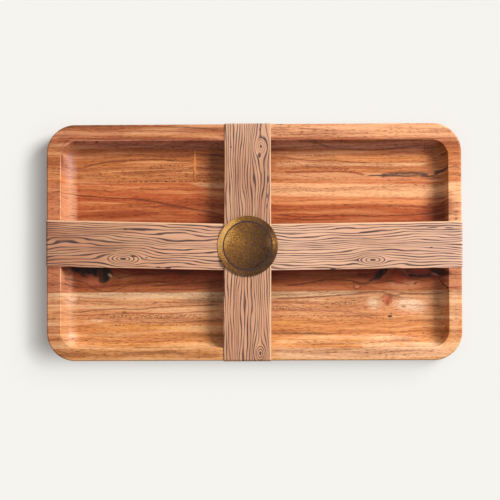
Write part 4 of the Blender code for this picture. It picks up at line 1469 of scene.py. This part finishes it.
bpy.ops.object.select_all(action="DESELECT")
bpy.ops.mesh.primitive_plane_add(size=FLOOR_SIZE, location=(0, 0, 0))
floor = bpy.context.object
floor.name = "floor"
graded, tree, surface = new_material("graded_paper_sheet")
spot = add_node(tree, "TexCoord").outputs["Object"]
from_lamp = add_node(tree, "VectorMath", spot, (SOFTBOX_PLACE.x, SOFTBOX_PLACE.y, 0),
                     operation="DISTANCE").outputs["Value"]
share = add_node(tree, "MapRange", from_lamp, NEAR_LAMP, FAR_FROM_LAMP, 0.0, 1.0)
shade = add_node(tree, "Mix", share, linear(SHEET_NEAR), linear(SHEET_FAR), data_type="RGBA")
off_middle = add_node(tree, "VectorMath", spot, (-LIT_REACH / 2, 0, 0), operation="SUBTRACT")
off_middle = add_node(tree, "VectorMath", off_middle, operation="ABSOLUTE")
past_tray = add_node(tree, "VectorMath", off_middle,
                     (half_length - LIT_REACH / 2, half_width - LIT_REACH, 0),
                     operation="SUBTRACT")
past_tray = add_node(tree, "VectorMath", past_tray, (0, 0, 0), operation="MAXIMUM")
past_tray = add_node(tree, "VectorMath", past_tray, operation="LENGTH").outputs["Value"]
glow = add_node(tree, "MapRange", past_tray, GLOW_START, GLOW_FULL, GLOW_BESIDE_TRAY,
                GLOW_FAR_OFF, **EASED)
lit = add_node(tree, "Math", 1.0, glow, operation="SUBTRACT")
shade = add_node(tree, "VectorMath", shade, lit, operation="MULTIPLY")
rays = add_node(tree, "LightPath").outputs
seen = add_node(tree, "Math", rays["Is Camera Ray"], rays["Is Glossy Ray"], operation="ADD")
seen = add_node(tree, "Math", seen, rays["Is Transmission Ray"], operation="ADD")
set_surface(tree, surface, Base_Color=shade, Roughness=SHEET_ROUGHNESS, Specular_IOR_Level=0.0,
            Emission_Color=linear(SHEET_GLOW),
            Emission_Strength=add_node(tree, "Math", seen, glow, operation="MULTIPLY"))
dress(floor, graded)

# %% [markdown]
# ## Light
#
# One big softbox stands at the right and partly behind, some 35 degrees up, and the room
# returns a weak light from everywhere, which keeps the shadows open. The soft shadow to the
# left of the tray and the dark right wall of the recess come from this.

# %% Softbox and room light
SOFTBOX_SIDE = 0.73
SOFTBOX_WATTS = 52
ROOM_STRENGTH = 0.46

softbox_data = bpy.data.lights.new("softbox", "AREA")
softbox_data.shape = "SQUARE"
softbox_data.size = SOFTBOX_SIDE
softbox_data.energy = SOFTBOX_WATTS
softbox = bpy.data.objects.new("softbox", softbox_data)
bpy.context.scene.collection.objects.link(softbox)
softbox.location = SOFTBOX_PLACE
softbox.rotation_euler = (-SOFTBOX_PLACE).to_track_quat("-Z", "Y").to_euler()

room = bpy.data.worlds.new("room")
room.use_nodes = True
set_surface(room.node_tree, room.node_tree.nodes["Background"], Color=(1, 1, 1, 1),
            Strength=ROOM_STRENGTH)
bpy.context.scene.world = room

# %% [markdown]
# ## Camera
#
# The photograph is taken from straight above with a long lens. The tray comes out a little
# turned, and its right and front ends a little larger, so the camera hangs a touch askew. A
# small program fitted its place and turn to the tray's outline.

# %% Camera
LENS_MM = 100
SENSOR_MM = 36
CAMERA_PLACE = Vector((16.2 * MM, -28.2 * MM, 1211.3 * MM))
CAMERA_TURN = (radians(1.03), radians(0.94), radians(-0.22))

camera_data = bpy.data.cameras.new("camera")
camera_data.lens = LENS_MM
camera_data.sensor_width = SENSOR_MM
camera = bpy.data.objects.new("camera", camera_data)
bpy.context.scene.collection.objects.link(camera)
camera.location = CAMERA_PLACE
camera.rotation_euler = CAMERA_TURN
bpy.context.scene.camera = camera
bpy.context.scene.view_settings.view_transform = "Standard"
